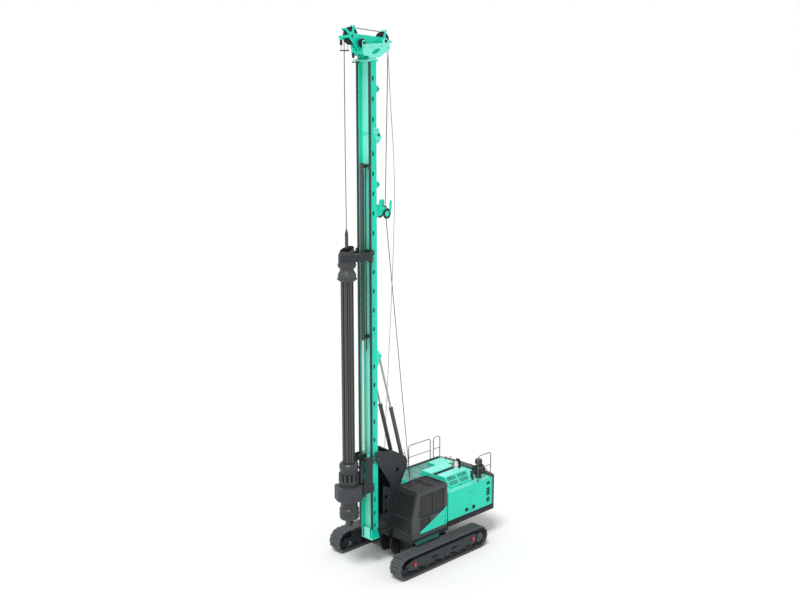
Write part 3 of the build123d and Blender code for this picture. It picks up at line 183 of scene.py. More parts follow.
teal = (16, 226, 192)
# pale mint: painted highlight of the overhead light on the upward faces of the teal paints
pale = srgb(190, 250, 244)
gloss_paint = {"rough": 0.36, "coat": 0.12, "vary": 0.03, "shine": 0.3}
TEAL = surface("teal_paint", teal, dust_and_top_light=0.30, dust_and_top_light_color=pale, **gloss_paint)
# the mast's forward faces carry a painted highlight of the key light
MAST = surface("mast_paint", teal, dust_and_top_light=0.30, dust_and_top_light_color=pale, front=(150, 252, 234), **gloss_paint)
# the hood's top carries a strong painted highlight of the overhead light
LID = surface("hood_paint", teal, dust_and_top_light=0.75, dust_and_top_light_color=srgb(150, 250, 236), **gloss_paint)
HEAD = surface("masthead_paint", teal, dust_and_top_light=0.25, dust_and_top_light_color=pale, outer=(130, 246, 226), **gloss_paint)
MINT = surface("mint_paint", (104, 240, 216), rough=0.36, coat=0.2, vary=0.02, shine=0.3)
DEEP = surface("deep_teal", (24, 92, 82), rough=0.5, vary=0.05, shine=0.25)
SCREEN = surface("screen_teal", (62, 140, 126), rough=0.5, vary=0.05, shine=0.25)
CHARCOAL = surface("charcoal_paint", (49, 53, 56), rough=0.45, coat=0.05, dust_and_top_light=0.08, shine=0.25)
BLACK = surface("black_paint", (38, 42, 45), rough=0.5, vary=0.08, dust_and_top_light=0.1, shine=0.2)
FRAME = surface("frame_paint", (50, 54, 58), rough=0.45, coat=0.05, dust_and_top_light=0.1, shine=0.25)
GUARD = surface("guard_paint", (50, 54, 55), rough=0.45, dust_and_top_light=0.05, shine=0.25)
CASE = surface("gear_case_paint", (60, 64, 68), rough=0.42, coat=0.1, dust_and_top_light=0.12, shine=0.3)
COLLAR = surface("collar_paint", (56, 60, 62), rough=0.4, coat=0.1, dust_and_top_light=0.05, shine=0.35)
CUP = surface("air_cleaner_paint", (60, 63, 64), rough=0.4, coat=0.1, shine=0.3)
CAB = surface("cab_paint", (66, 71, 73), rough=0.36, coat=0.1, vary=0.05, shine=0.3)
BARREL = surface("barrel_paint", (74, 76, 75), rough=0.38, coat=0.15, vary=0.05, shine=0.35)
TUBE = surface("grey_tube", (92, 96, 97), rough=0.35, coat=0.2, vary=0.04)
RED = surface("signal_red", (214, 40, 44), rough=0.3, coat=0.5, vary=0.03)
WHITE = surface("white_cap", (226, 228, 226), rough=0.35, coat=0.3, vary=0.03)
STEEL = surface("track_steel", (84, 88, 91), rough=0.5, metallic=0.2, vary=0.12, scale=9.0,
                grain=0.25, dust_and_top_light=0.12, shine=0.3)
# lighter steel on the grousers' edges: wear, and a painted highlight where light catches them
WORN_AND_HIGHLIGHT = surface("worn_steel", (132, 136, 138), rough=0.45, metallic=0.3, vary=0.1, shine=0.3)
RAIL = surface("rail_steel", (52, 66, 64), rough=0.34, metallic=0.3, vary=0.08, grain=0.1, shine=0.3)
KELLY = surface("kelly_steel", (76, 79, 79), rough=0.36, metallic=0.25, vary=0.08, scale=2.0,
                grain=0.15, shine=0.35)
CHROME = surface("chrome_rod", (232, 240, 238), rough=0.14, metallic=0.85, vary=0.02)
ROD = surface("plain_rod", (168, 172, 172), rough=0.3, metallic=0.3, vary=0.03)
ZINC = surface("zinc_bolt", (150, 152, 150), rough=0.4, metallic=0.7, vary=0.1)
ROPE = surface("wire_rope", (64, 65, 64), rough=0.5, metallic=0.4, vary=0.12, scale=30.0, shine=0.3)
CASTING = surface("engine_casting", (92, 93, 92), rough=0.65, metallic=0.3, vary=0.12, grain=0.3)
TREAD = surface("walkway_grey", (122, 134, 132), rough=0.55, metallic=0.3, vary=0.1, grain=0.4,
                grain_scale=90.0)
RUBBER = surface("black_rubber", (30, 31, 32), rough=0.7, vary=0.12, grain=0.2, shine=0.25)
FABRIC = surface("seat_fabric", (40, 40, 41), rough=0.85, vary=0.1, grain=0.5, grain_scale=220.0,
                 shine=0.2)
LOUVRE = surface("louvre_black", (14, 24, 23), rough=0.6, vary=0.1, shine=0.2)
# near black: dark joints, and painted shade in holes, notches, pockets, the guide's cup and beside the
# kelly's ribs
DARK = surface("dark_hole", (12, 14, 14), rough=0.8, vary=0.1, shine=0.1)
GLASS = make_glass()

# Which CAD nodes wear each finish
finishes = {
    TEAL: "hood door_left_front door_left_rear",
    LID: "hood_lid right_boxes",
    MAST: "mast_lower mast_top",
    HEAD: "masthead",
    CAB: "cab_shell cab_door",
    GLASS: "cab_glass door_glass",
    GUARD: "cab_guard",
    FABRIC: "cab_seat",
    CHARCOAL: "counterweight support_frame sledge kelly_guide",
    BLACK: "car_body deck winch_drum aux_drum sheave_front sheave_rear sheave_aux sheave_bracket",
    FRAME: "side_frame_left side_frame_right",
    STEEL: "track_left track_right",
    RAIL: "rails_lower rails_top",
    BARREL: "crowd_barrel rake_barrel_left rake_barrel_right",
    CHROME: "crowd_rod",
    ROD: "rake_rod_left rake_rod_right",
    CASE: "gear_case",
    COLLAR: "drive_sleeve",
    KELLY: "kelly_outer kelly_inner",
    TUBE: "handrails",
    CUP: "air_cleaner",
    CASTING: "engine",
}
for mat, names in finishes.items():
    for name in names.split():
        nodes[name].data.materials.clear()
        nodes[name].data.materials.append(mat)


# Points and faces that the pieces are made of
def circle(count, radius, start=0.0):
    """Even points (u, v) on a circle, from a start angle in degrees."""
    angles = [math.radians(start) + 2 * math.pi * k / count for k in range(count)]
    return [(radius * math.cos(a), radius * math.sin(a)) for a in angles]


def around(centre, offsets):
    """Points of an outline given as offsets from a centre."""
    return [(centre[0] + u, centre[1] + v) for u, v in offsets]


def turn(centre, r, start, end, steps):
    """Points round an axis along X; angles in degrees from +Y towards +Z."""
    angles = [math.radians(start + (end - start) * i / steps) for i in range(steps + 1)]
    return [(0.0, centre[0] + r * math.cos(a), centre[1] + r * math.sin(a)) for a in angles]


def even(p, q, step):
    """Points from p up to but without q at an even step, so that a piece can bend between them."""
    p = Vector(p)
    q = Vector(q)
    n = max(int((q - p).length / step), 1)
    return [p + (q - p) * (i / n) for i in range(n)]


def curve(points, steps):
    """Catmull-Rom curve through points."""
    pts = [Vector(p) for p in points]
    pts = [pts[0]] + pts + [pts[-1]]
    out = []
    for a, b, c, d in zip(pts, pts[1:], pts[2:], pts[3:]):
        for k in range(steps):
            t = k / steps
            bow = (2 * a - 5 * b + 4 * c - d) * t * t + (3 * b - a - 3 * c + d) * t * t * t
            out.append(0.5 * (2 * b + (c - a) * t + bow))
    out.append(pts[-2])
    return out


def net(rows, columns, closed=False, flip=False):
    """Four-sided faces over rows of points, where each row is a closed ring."""
    faces = []
    for i in range(rows if closed else rows - 1):
        j = (i + 1) % rows
        for k in range(columns):
            m = (k + 1) % columns
            a, b, c, d = i * columns + k, i * columns + m, j * columns + m, j * columns + k
            faces.append((a, d, c, b) if flip else (a, b, c, d))
    return faces


box_faces = [(0, 1, 3, 2), (4, 6, 7, 5), (0, 4, 5, 1), (2, 3, 7, 6), (0, 2, 6, 4), (1, 5, 7, 3)]
sharp_angle = math.radians(40)


class Shape:
    """Collects solids into one mesh."""

    def __init__(self):
        self.verts = []
        self.faces = []

    def add(self, verts, faces):
        base = len(self.verts)
        self.verts.extend(tuple(v) for v in verts)
        self.faces.extend([tuple(base + i for i in f) for f in faces])

    def skin(self, verts, columns, flip=False):
        """Rings of points, joined one to the next, with a flat cap at each end."""
        caps = [tuple(range(columns - 1, -1, -1)), tuple(range(len(verts) - columns, len(verts)))]
        if flip:
            caps = [cap[::-1] for cap in caps]
        self.add(verts, caps + net(len(verts) // columns, columns, flip=flip))

    def box(self, x0, x1, y0, y1, z0, z1):
        """Upright box; the two X may come in either order."""
        self.add([(x, y, z) for x in sorted((x0, x1)) for y in (y0, y1) for z in (z0, z1)], box_faces)

    def slab(self, corner, a, b, c):
        """Slanting box from a corner and three edges."""
        corner, a, b, c = (Vector(v) for v in (corner, a, b, c))
        self.add([corner + a * i + b * j + c * k for i in (0, 1) for j in (0, 1) for k in (0, 1)], box_faces)

    def prism(self, outline, axis, low, high):
        """Prism over a flat outline; axis 'x' takes (y, z), 'y' takes (x, z)."""
        if axis == "x":
            verts = [(w, u, v) for w in (low, high) for u, v in outline]
        else:
            verts = [(u, w, v) for w in (low, high) for u, v in outline]
        self.skin(verts, len(outline), flip=True)

    def rod(self, p, q, r, sides=12, r2=None):
        """Round bar or cone from p to q."""
        p = Vector(p)
        q = Vector(q)
        d = (q - p).normalized()
        side = d.orthogonal().normalized()
        other = d.cross(side)
        verts = [p + side * u + other * v for u, v in circle(sides, r)]
        verts += [q + side * u + other * v for u, v in circle(sides, r if r2 is None else r2)]
        self.skin(verts, sides)

    def tube(self, points, r, sides=8):
        """Round tube along a line of points."""
        line = [Vector(p) for p in points]
        side = (line[1] - line[0]).normalized().orthogonal()
        verts = []
        for i, p in enumerate(line):
            d = (line[min(i + 1, len(line) - 1)] - line[max(i - 1, 0)]).normalized()
            side = (side - d * side.dot(d)).normalized()
            other = d.cross(side)
            verts += [p + side * u + other * v for u, v in circle(sides, r)]
        self.skin(verts, sides)

    def bolt(self, p, d=(0, 0, 1), r=0.016, h=0.014):
        """Six-sided head on a washer, pointing along d."""
        p = Vector(p)
        d = Vector(d).normalized()
        self.rod(p, p + d * h * 0.35, r * 1.5, sides=12)
        self.rod(p + d * h * 0.3, p + d * h, r, sides=6)

    def disc(self, way, x0, x1, centre, r, sides):
        """Disc across X on one side, centre as (y, z)."""
        self.rod((way * x0, *centre), (way * x1, *centre), r, sides)

    def side_bolts(self, way, x, points, r=0.016):
        """Bolts on one side that point outwards, at points (y, z)."""
        for point in points:
            self.bolt((way * x, *point), (way, 0, 0), r)

    def ring(self, centre, r, thick, sides=24, upright=False):
        """Torus; flat, or upright across X."""
        x, y, z = centre
        verts = []
        for u, v in circle(sides, 1.0):
            for wide, high in circle(8, thick):
                reach = r + wide
                if upright:
                    verts.append((x + high, y + reach * u, z + reach * v))
                else:
                    verts.append((x + reach * u, y + reach * v, z + high))
        self.add(verts, net(sides, 8, closed=True))

    def lathe(self, rings, centre, sides=40):
        """Turned body about an axis along X; rings are (x, r), centre is (y, z)."""
        verts = [(x, centre[0] + u, centre[1] + v) for x, r in rings for u, v in circle(sides, r)]
        self.skin(verts, sides, flip=True)

    def turned(self, section, centre, sides=48, lean=0.0, lean_from=0.0):
        """Ring about an upright axis from a closed section of (r, z), centre (x, y).

        lean tips whatever lies above lean_from, so that the rim is higher at the back.
        """
        verts = []
        for u, v in circle(sides, 1.0):
            for r, z in section:
                tip = lean * v if z > lean_from else 0.0
                verts.append((centre[0] + r * u, centre[1] + r * v, z + tip))
        self.add(verts, net(sides, len(section), closed=True, flip=True))

    def piece(self, name, mat, smooth):
        mesh = bpy.data.meshes.new(name)
        mesh.from_pydata(self.verts, [], self.faces)
        mesh.update()
        mesh.materials.append(mat)
        if smooth:
            mesh.shade_smooth()
            mesh.set_sharp_from_angle(angle=sharp_angle)
        return placed(name, mesh)

    def make(self, name, mat, body):
        """Piece on one body, smooth between its sharp edges."""
        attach(self.piece(name, mat, True), body)

    def flat(self, name, mat, body):
        """Piece on one body, with flat faces."""
        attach(self.piece(name, mat, False), body)

    def bend(self, name, mat, a, b, start, end):
        """Smooth piece, baked where it stands at rest; it rides no body."""
        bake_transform(self.piece(name, mat, True))


def boxes(name, mat, body, *spans):
    """Piece made of upright boxes."""
    s = Shape()
    for span in spans:
        s.box(*span)
    s.flat(name, mat, body)


# Places that many pieces share, in metres: joints as (y, z), faces of the CAD nodes and sizes
joints = {joint["name"]: joint.get("pos_m") for joint in frame["joints"]}
head_front = joints["sheave_front"][1:]
head_rear = joints["sheave_rear"][1:]
head_aux = joints["sheave_aux"][1:]
bracket = joints["sheave_bracket"][1:]
winch = joints["winch_drum"][1:]
aux_winch = joints["aux_drum"][1:]
fold = joints["mast_fold"][1:]
mast_pivot = joints["mast_tilt"][1:]
rake_base = joints["rake_barrel_left"][1:]
kelly_y = joints["kelly_spin"][1]
side_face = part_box("door_left_front")[1].x
lying = 0.0006          # gap between a thin piece and the face it lies on
left_lying = side_face + lying
right_lying = -side_face - 0.0004
mast_back = -2.005
mast_side = 0.335
channel_front = -2.1405
rope_r = 0.014
thin_rope_r = 0.009
head_wrap_r = 0.31 * 0.9 + rope_r
fold_low = 15.9         # heights about the mast's fold; the ropes are cut in two at the lower one
fold_high = 17.0
fold_span = ((0, -2, fold_low), (0, -2, fold_high))


# Ropes
def rope_layer(name, centre, drum_r, half, r, body):
    """Rope wound on a drum: one bulge for each turn."""
    turns = int(half / r)
    rings = []
    for i in range(turns):
        for share, rise in ((0.02, 0.0), (0.25, 0.8), (0.5, 1.0), (0.75, 0.8)):
            x = -half + (i + share) * 2 * half / turns
            rings.append((x, drum_r + r * (0.8 + 0.9 * rise)))
    s = Shape()
    s.lathe(rings, centre)
    s.make(name, ROPE, body)


def hoist_rope():
    """From the kelly over both head sheaves and the bracket sheave to the winch."""
    front_y = head_front[0] - head_wrap_r
    rear_y = head_rear[0] + head_wrap_r
    swivel = (0, kelly_y, 13.0)
    fold_front = (0, front_y, fold_low)
    fold_rear = (0, rear_y - 0.1, fold_low)
    low = Shape()
    low.tube(even(swivel, fold_front, 0.3) + [fold_front], rope_r)
    low.bend("hoist_rope_low", ROPE, "mast", "kelly_guide", (0, front_y, fold_low - 0.1), (0, kelly_y, 13.1))

    leave = 84.5        # angle at which the rope leaves the front sheave for the rear one
    over = turn(head_front, head_wrap_r, 180, leave, 10) + turn(head_rear, head_wrap_r, leave, 0, 10)
    down = even((0, rear_y, head_rear[1] - 0.15), fold_rear, 0.15)
    top = Shape()
    top.tube(even(fold_front, over[0], 0.15) + over + down + [fold_rear], rope_r)
    top.bend("hoist_rope_top", ROPE, "mast", "mast_top", *fold_span)

    turn_off = (0, bracket[0] + 0.151, bracket[1])
    drum_on = (0, winch[0] - 0.335, winch[1] + 0.02)
    rear = Shape()
    rear.tube(even(fold_rear, turn_off, 0.3) + even(turn_off, drum_on, 0.15) + [drum_on], rope_r)
    rear.bend("hoist_rope_rear", ROPE, "upper", "mast", (0, 0, 2.2), (0, 0, 6.2))
    rope_layer("hoist_rope_wound", winch, 0.30, 0.31, rope_r, "winch_drum")


def service_rope():
    """From the small winch to the masthead, hanging slack as in the picture."""
    slack = [
        (0.06, aux_winch[0] + 0.168, aux_winch[1] + 0.02), (0.06, -1.36, 5.13), (0.07, -1.154, 8.40),
        (0.11, -0.98, 11.83), (0.15, -0.94, 14.24), (0.17, -1.01, 15.9), (0.185, -1.145, 17.33),
        (0.2, -1.30, 19.26), (0.2, -1.36, 19.42),
    ]
    line = curve(slack, 14)
    split = max(i for i, p in enumerate(line) if p.z <= fold_low + 0.02)
    low = Shape()
    low.tube(line[:split + 1], thin_rope_r, 6)
    low.bend("service_rope_low", ROPE, "upper", "mast", (0, 0, 4.6), (0, 0, 8.0))
    top = Shape()
    top.tube(line[split:], thin_rope_r, 6)
    top.bend("service_rope_top", ROPE, "mast", "mast_top", *fold_span)
    rope_layer("service_rope_wound", aux_winch, 0.15, 0.262, thin_rope_r, "aux_drum")


# Mast and masthead
def bracket_sheave():
    """Keeper roller with its arms, rope arms and side discs of the bracket sheave."""
    keeper = around(bracket, [(-0.08, -0.03), (0, 0.08), (0.24, 0.02), (0.27, -0.05), (0.22, -0.10),
                              (0, -0.09)])
    front = around(bracket, [(-0.34, -0.01), (-0.24, -0.01), (-0.18, 0.30), (-0.20, 0.41), (-0.28, 0.41),
                             (-0.32, 0.30)])
    rear = around(bracket, [(0.18, -0.09), (0.26, -0.09), (0.30, 0.23), (0.28, 0.33), (0.20, 0.33),
                            (0.17, 0.23)])
    roller_at, hub = around(bracket, [(0.215, -0.05), (0.06, -0.15)])
    keeper_x, hub_x = 0.166, 0.1963
    arms = Shape()
    roller = Shape()
    guides = Shape()
    discs = Shape()
    for way in (-1, 1):
        arms.prism(keeper, "x", way * keeper_x, way * (keeper_x + 0.014))
        guides.prism(front, "x", way * 0.1625, way * 0.185)
        guides.prism(rear, "x", way * hub_x, way * 0.209)
        guides.disc(way, hub_x, 0.205, hub, 0.105, 28)
        discs.disc(way, 0.1803, 0.196, hub, 0.19, 36)
    roller.disc(1, -keeper_x, keeper_x, roller_at, 0.042, 20)
    arms.flat("bracket_arms", TEAL, "mast")
    roller.make("bracket_keeper", BLACK, "mast")
    guides.flat("bracket_guides", TEAL, "mast")
    discs.make("bracket_discs", BLACK, "mast")


def limit_rings():
    """Limit rings that hang round the ropes below the head sheaves, and their brackets."""
    rings = (("limit_ring_hoist", 0, -3.19, 19.40, 19.76, 0.15),
             ("limit_ring_service", 0.25, -2.88, 19.01, 19.34, 0.13))
    for name, x, y, low, high, r in rings:
        s = Shape()
        s.ring((x, y, low), r, 0.02, 28)
        for way in (-1, 1):
            s.rod((x, y + way * r, low), (x, y + way * r, high), 0.008, 8)
        s.box(x - 0.03, x + 0.03, y - r - 0.035, y - r + 0.035, high - 0.18, high + 0.02)
        s.make(name, BLACK, "mast_top")
    boxes("limit_switch_bracket", TEAL, "mast_top", (-0.05, 0.05, -3.40, -3.26, 19.76, 19.82),
          (-0.05, 0.05, -3.30, -3.22, 19.78, 19.90))
    boxes("service_switch_bracket", TEAL, "mast_top", (0.20, 0.30, -3.06, -2.555, 19.33, 19.36))


def crowd_pipes():
    """Rigid pipes beside the crowd cylinder, with their clamps."""
    y = -2.365
    s = Shape()
    for way in (-1, 1):
        s.rod((way * 0.13, y, 8.6), (way * 0.13, y, 15.45), 0.017, 10)
        for z in (9.09, 12.225, 15.31):
            s.box(way * 0.126 - 0.034, way * 0.126 + 0.034, y - 0.025, y + 0.025, z, z + 0.05)
    s.make("crowd_pipes", BLACK, "mast")


def head_hardware():
    """Webs behind the windows of the masthead's outer plates, bolts and pin caps."""
    web = [(-2.24, 19.17), (-1.86, 19.17), (-1.60, 19.40), (-1.66, 19.56), (-2.24, 19.56)]
    plate_x = 0.314
    flange_z = 19.1103
    cap_x = 0.100
    plate_bolts = ((-2.25, 19.15), (-2.12, 19.15), (-2.20, 19.52), (-1.72, 19.56), (-1.40, 19.52),
                   (-2.60, 19.50))
    webs = Shape()
    bolts = Shape()
    for way in (-1, 1):
        webs.prism(web, "x", way * 0.190, way * 0.202)
        bolts.side_bolts(way, plate_x, plate_bolts)
        for x in (0.16, 0.24, 0.345):
            for y in (-2.32, -2.02):
                bolts.bolt((way * x, y, flange_z))
        for centre in (head_front, head_rear):
            bolts.side_bolts(way, cap_x, around(centre, circle(4, 0.052, 45)), 0.008)
    webs.flat("head_webs", TEAL, "mast_top")
    bolts.make("head_bolts", ZINC, "mast_top")
    caps = Shape()
    for centre, r in ((head_aux, 0.05), ((-1.51, 19.74), 0.06)):
        caps.disc(1, plate_x, plate_x + 0.012, centre, r, 24)
    for way in (-1, 1):
        for centre in (head_front, head_rear):
            caps.disc(way, cap_x, cap_x + 0.012, centre, 0.034, 20)
    caps.make("head_pin_caps", BLACK, "mast_top")


def fold_hinge():
    """Fold hinge's side plates with their caps and bolts, and the edges of the mast's two sections."""
    plate = around(fold, [(-0.27, 0.20), (-0.20, 0.29), (-0.02, 0.24), (0.14, -0.06), (0.12, -0.14),
                          (-0.04, -0.31), (-0.11, -0.28), (-0.14, -0.12), (-0.24, 0.07)])
    bolts = around(fold, [(-0.21, 0.18), (-0.06, 0.18), (-0.05, -0.20), (-0.14, 0.02)])
    plate_x = mast_side + 0.017
    plates = Shape()
    caps = Shape()
    for way in (-1, 1):
        plates.prism(plate, "x", way * (mast_side + 0.0005), way * plate_x)
        caps.disc(way, plate_x, plate_x + 0.010, fold, 0.05, 24)
        caps.side_bolts(way, plate_x, bolts, 0.012)
    plates.flat("fold_plates", MINT, "mast")
    caps.make("fold_caps", BLACK, "mast")
    for name, z, body in (("seam_edge_low", 16.487, "mast"), ("seam_edge_high", 16.545, "mast_top")):
        boxes(name, MINT, body, (-0.250, 0.250, channel_front - 0.0175, channel_front, z, z + 0.05))


def rope_guides():
    """Side plates and rollers of the service rope's guides on the mast's back."""
    back = mast_back + 0.002
    y = -1.715
    for level, z, body in (("low", 14.69, "mast"), ("high", 18.08, "mast_top")):
        rollers = Shape()
        rollers.disc(1, -0.111, 0.111, (y, z), 0.026, 20)
        for x in (0.129, -0.142):
            rollers.disc(1, x, x + 0.013, (y, z), 0.028, 16)
        rollers.make("rope_guide_" + level, BLACK, body)
        plate = around((0, z), [(back, -0.16), (back, 0.16), (-1.84, 0.13), (-1.72, 0.10), (-1.68, 0.03),
                                (-1.68, -0.05), (-1.74, -0.10)])
        plates = Shape()
        for way in (-1, 1):
            plates.prism(plate, "x", way * 0.1283, way * 0.1365)
        plates.flat("guide_plates_" + level, TEAL, body)


# Hoses
def mast_hoses():
    """Hoses from the frame to the mast's back."""
    s = Shape()
    for i, x in enumerate((-0.22, -0.14, -0.06, 0.06)):
        s.tube(curve([(x, -1.15, 2.60), (x, -1.22, 3.25), (x, -1.42 - 0.02 * i, 3.55), (x, -1.66, 3.38),
                      (x, -1.86, 3.30), (x, -1.975, 3.48), (x, -1.984, 3.92)], 8), 0.02)
    s.bend("mast_hoses", RUBBER, "upper", "mast", (0, -1.30, 3.4), (0, -1.95, 3.4))


def motor_hoses():
    """Hoses from the drill motors to the sledge, two for each motor."""
    s = Shape()
    for x in (-0.215, 0.215):
        for dx in (-0.045, 0.045):
            s.tube(curve([(x + dx, -2.745, 4.235), (x + dx, -2.745, 4.46), (x * 0.9 + dx, -2.70, 4.62),
                          (x * 0.6 + dx, -2.66, 4.60), (x * 0.5 + dx, -2.655, 4.42)], 8), 0.017)
    s.make("motor_hoses", RUBBER, "sledge")


# Cab
def wedge(y0, y1):
    """Part of the teal wedge on the cab's side between two stations along the machine."""
    front, length, foot = -0.88, 1.48, 1.335
    steps = 12
    stations = [y0 + (y1 - y0) * i / steps for i in range(steps + 1)]
    rise = [(y, y - front) for y in stations]
    top = [(y, 1.43 + 0.43 * run - 0.02 * math.sin(math.pi * run / length)) for y, run in rise]
    return top + [(y, foot) for y in reversed(stations)]


def rim(shape, face, rise, y0, y1, z0, z1, width):
    """Flat border just outside a rectangle on the left side."""
    a, b = y0 - width, y1 + width
    for bar in ((a, b, z0 - width, z0), (a, b, z1, z1 + width), (a, y0, z0, z1), (y1, b, z0, z1)):
        shape.box(face, face + rise, *bar)


def cab_side():
    """Teal wedge, cut at the door's rear edge, with its flap, trims round the door's panes and a step."""
    wedges = (("cab_wedge_door", -0.88, 0.488, "cab_door"), ("cab_wedge_rear", 0.504, 0.598, "upper"))
    for name, y0, y1, body in wedges:
        s = Shape()
        s.prism(wedge(y0, y1), "x", left_lying, side_face + 0.004)
        s.flat(name, TEAL, body)
    flap = Shape()
    rim(flap, side_face + 0.004, 0.0012, 0.236, 0.364, 1.571, 1.734, 0.006)
    flap.flat("wedge_flap", DEEP, "cab_door")
    trims = Shape()
    panes = ((-0.870, -0.210, 1.960, 2.840), (-0.120, 0.410, 1.960, 2.840), (-0.870, -0.350, 1.480, 1.880))
    for y0, y1, z0, z1 in panes:
        rim(trims, left_lying, 0.0024, y0, y1, z0, z1, 0.02)
    trims.flat("pane_trims", RUBBER, "cab_door")
    front, length = -1.18, 1.30
    step = Shape()
    step.slab((1.478, front, 1.15), (0, length, 0), (0.075, 0, -0.19), (-0.005, 0, 0))
    step.box(1.44, 1.50, front, front + length, 1.045, 1.052)
    step.flat("step_plate", DEEP, "upper")


def cab_levers():
    """Two hand levers on the consoles and two travel levers with pedals."""
    s = Shape()
    for x in (0.67, 1.31):
        s.rod((x, -0.46, 1.855), (x, -0.49, 2.03), 0.012)
        s.rod((x, -0.49, 2.02), (x, -0.50, 2.10), 0.024, 16, 0.03)
    for x in (0.88, 1.02):
        s.tube([(x, -1.05, 1.245), (x, -1.07, 1.55), (x, -1.00, 1.72)], 0.012, 10)
        s.box(x - 0.05, x + 0.05, -1.12, -0.98, 1.242, 1.262)
    s.make("cab_levers", RUBBER, "upper")


# Hood, side doors, right-hand boxes and counterweight
lid_edge = Vector((1.23, 0, 2.62))
lid_slope = Vector((-0.30, 0, 0.34))
lid_out = Vector((0.750, 0, 0.662))


def on_slope(t, y, lift):
    """Point on the lid's slanting face; t runs from its lower edge to the ridge."""
    return lid_edge + lid_slope * t + lid_out * lift + Vector((0, y, 0))


def hood_screens():
    """Four screens over the louvres of the lid, each with a grid of lines."""
    screen_t, line_t, line_lift = 0.003, 0.002, 0.0036
    length = 0.50
    screens = Shape()
    lines = Shape()
    for middle in (1.35, 1.95):
        front = middle - length / 2
        for low, high in ((0.10, 0.46), (0.54, 0.90)):
            up = lid_slope * (high - low)
            screens.slab(on_slope(low, front, lying), up, (0, length, 0), lid_out * screen_t)
            for k in range(9):
                corner = on_slope(low, front + 0.004 + k * 0.0605, line_lift)
                lines.slab(corner, up, (0, 0.007, 0), lid_out * line_t)
            for k in range(4):
                corner = on_slope(low + (high - low) * (0.02 + 0.30 * k), front, line_lift)
                lines.slab(corner, up * 0.035, (0, length, 0), lid_out * line_t)
    screens.flat("hood_screens", SCREEN, "hood_lid")
    lines.flat("hood_screen_lines", TEAL, "hood_lid")


def lid_details():
    """Slot along the lid's top, its handles, hinges and lock."""
    boxes("hood_slot", LOUVRE, "hood_lid", (0.245, 0.505, 1.06, 2.30, 2.9008, 2.905))
    s = Shape()
    for y in (1.20, 2.10):
        s.tube([(1.00, y, 2.885), (1.03, y, 2.915), (1.03, y + 0.12, 2.915), (1.00, y + 0.12, 2.885)], 0.008)
    for y in (1.15, 1.65, 2.15):
        s.rod((-0.385, y, 2.558), (-0.385, y + 0.10, 2.558), 0.014)
    s.box(1.232, 1.238, 1.62, 1.70, 2.565, 2.610)
    s.make("lid_handles", BLACK, "hood_lid")


def exhaust():
    """White cap, red beacon and black pipe on the lid."""
    foot = 2.955
    cap = Shape()
    cap.rod((0.57, 2.12, foot), (0.57, 2.12, 3.10), 0.075, 24)
    cap.rod((0.57, 2.12, 3.10), (0.57, 2.12, 3.26), 0.095, 24, 0.06)
    cap.make("exhaust_cap", WHITE, "hood_lid")
    beacon = Shape()
    beacon.rod((0.42, 2.10, foot), (0.42, 2.10, 3.05), 0.02)
    beacon.rod((0.42, 2.10, 3.05), (0.42, 2.10, 3.16), 0.05, 20, 0.04)
    beacon.make("beacon", RED, "hood_lid")
    pipe = Shape()
    pipe.tube([(0.62, 2.27, 2.95), (0.62, 2.27, 3.22), (0.60, 2.22, 3.31), (0.57, 2.14, 3.33)], 0.055, 16)
    pipe.make("exhaust_pipe", BLACK, "hood_lid")


def walkway():
    """Walkway over the right-hand boxes: tread strips on their plate, toe boards and a lifting eye."""
    top = 2.575
    tread = Shape()
    for i in range(28):
        y = 0.50 + i * 0.10
        tread.box(-1.47, -0.52, y, y + 0.05, top + 0.0016, top + 0.007)
    tread.flat("walkway_tread", TREAD, "upper")
    boxes("walkway_plate", TEAL, "upper", (-1.49, -0.48, 0.46, 3.27, top + 0.0002, top + 0.0015))
    boxes("toe_boards", TUBE, "upper", (-1.495, -1.480, 0.46, 3.27, top, top + 0.09),
          (-0.490, -0.475, 0.46, 2.34, top, top + 0.023))
    eye = Shape()
    eye.ring((-0.96, 3.15, 2.76), 0.05, 0.014, upright=True)
    eye.rod((-0.96, 3.15, 2.68), (-0.96, 3.15, 2.715), 0.025)
    eye.make("lifting_eye", ZINC, "upper")


def side_doors():
    """Vent covers and locks of the left side doors, and the rear one's louvre hoods with a dark sheet behind
    them as painted shade.
    """
    vent_face = side_face + 0.004
    lock_face = side_face + 0.008
    doors = (("front_door", "door_left_front", 1.75, 1.565, 1.90),
             ("rear_door", "door_left_rear", 2.17, 1.575, 2.05))
    for name, body, vent_y, vent_z, lock_y in doors:
        vents = Shape()
        vents.box(left_lying, vent_face, vent_y - 0.08, vent_y + 0.08, vent_z - 0.072, vent_z + 0.072)
        for k in range(4):
            z = vent_z - 0.052 + k * 0.031
            vents.box(vent_face, vent_face + 0.005, vent_y - 0.068, vent_y + 0.068, z, z + 0.010)
        vents.flat(name + "_vents", LOUVRE, body)
        locks = Shape()
        for z in (2.28, 1.52):
            locks.disc(1, left_lying, lock_face, (lock_y, z), 0.022, 20)
            locks.box(lock_face, lock_face + 0.004, lock_y - 0.004, lock_y + 0.004, z - 0.014, z + 0.014)
        locks.make(name + "_locks", BLACK, body)
    hoods = Shape()
    for low, count in ((1.560, 3), (1.840, 5), (2.300, 2)):
        for i in range(count):
            corner = (left_lying, 2.935, low + i * 0.065 + 0.036)
            hoods.slab(corner, (0, 0.20, 0), (0.012, 0, -0.040), (0, 0, 0.006))
    # dark sheet behind the hoods: painted shade
    hoods.box(1.479, 1.4868, 2.94, 3.13, 1.54, 2.42)
    hoods.flat("rear_door_louvres", LOUVRE, "door_left_rear")


def cleaner_bands():
    """Bands round the air cleaner's body and clamps on its pipe."""
    x = 1.15
    s = Shape()
    bands = (((2.69, 2.78, 2.87, 2.96), 2.88, 0.214, 0.018), ((2.45, 2.60), 2.86, 0.078, 0.02))
    for places, z, r, width in bands:
        for y in places:
            s.prism(around((x, z), circle(32, r)), "y", y, y + width)
    s.make("cleaner_bands", RUBBER, "upper")


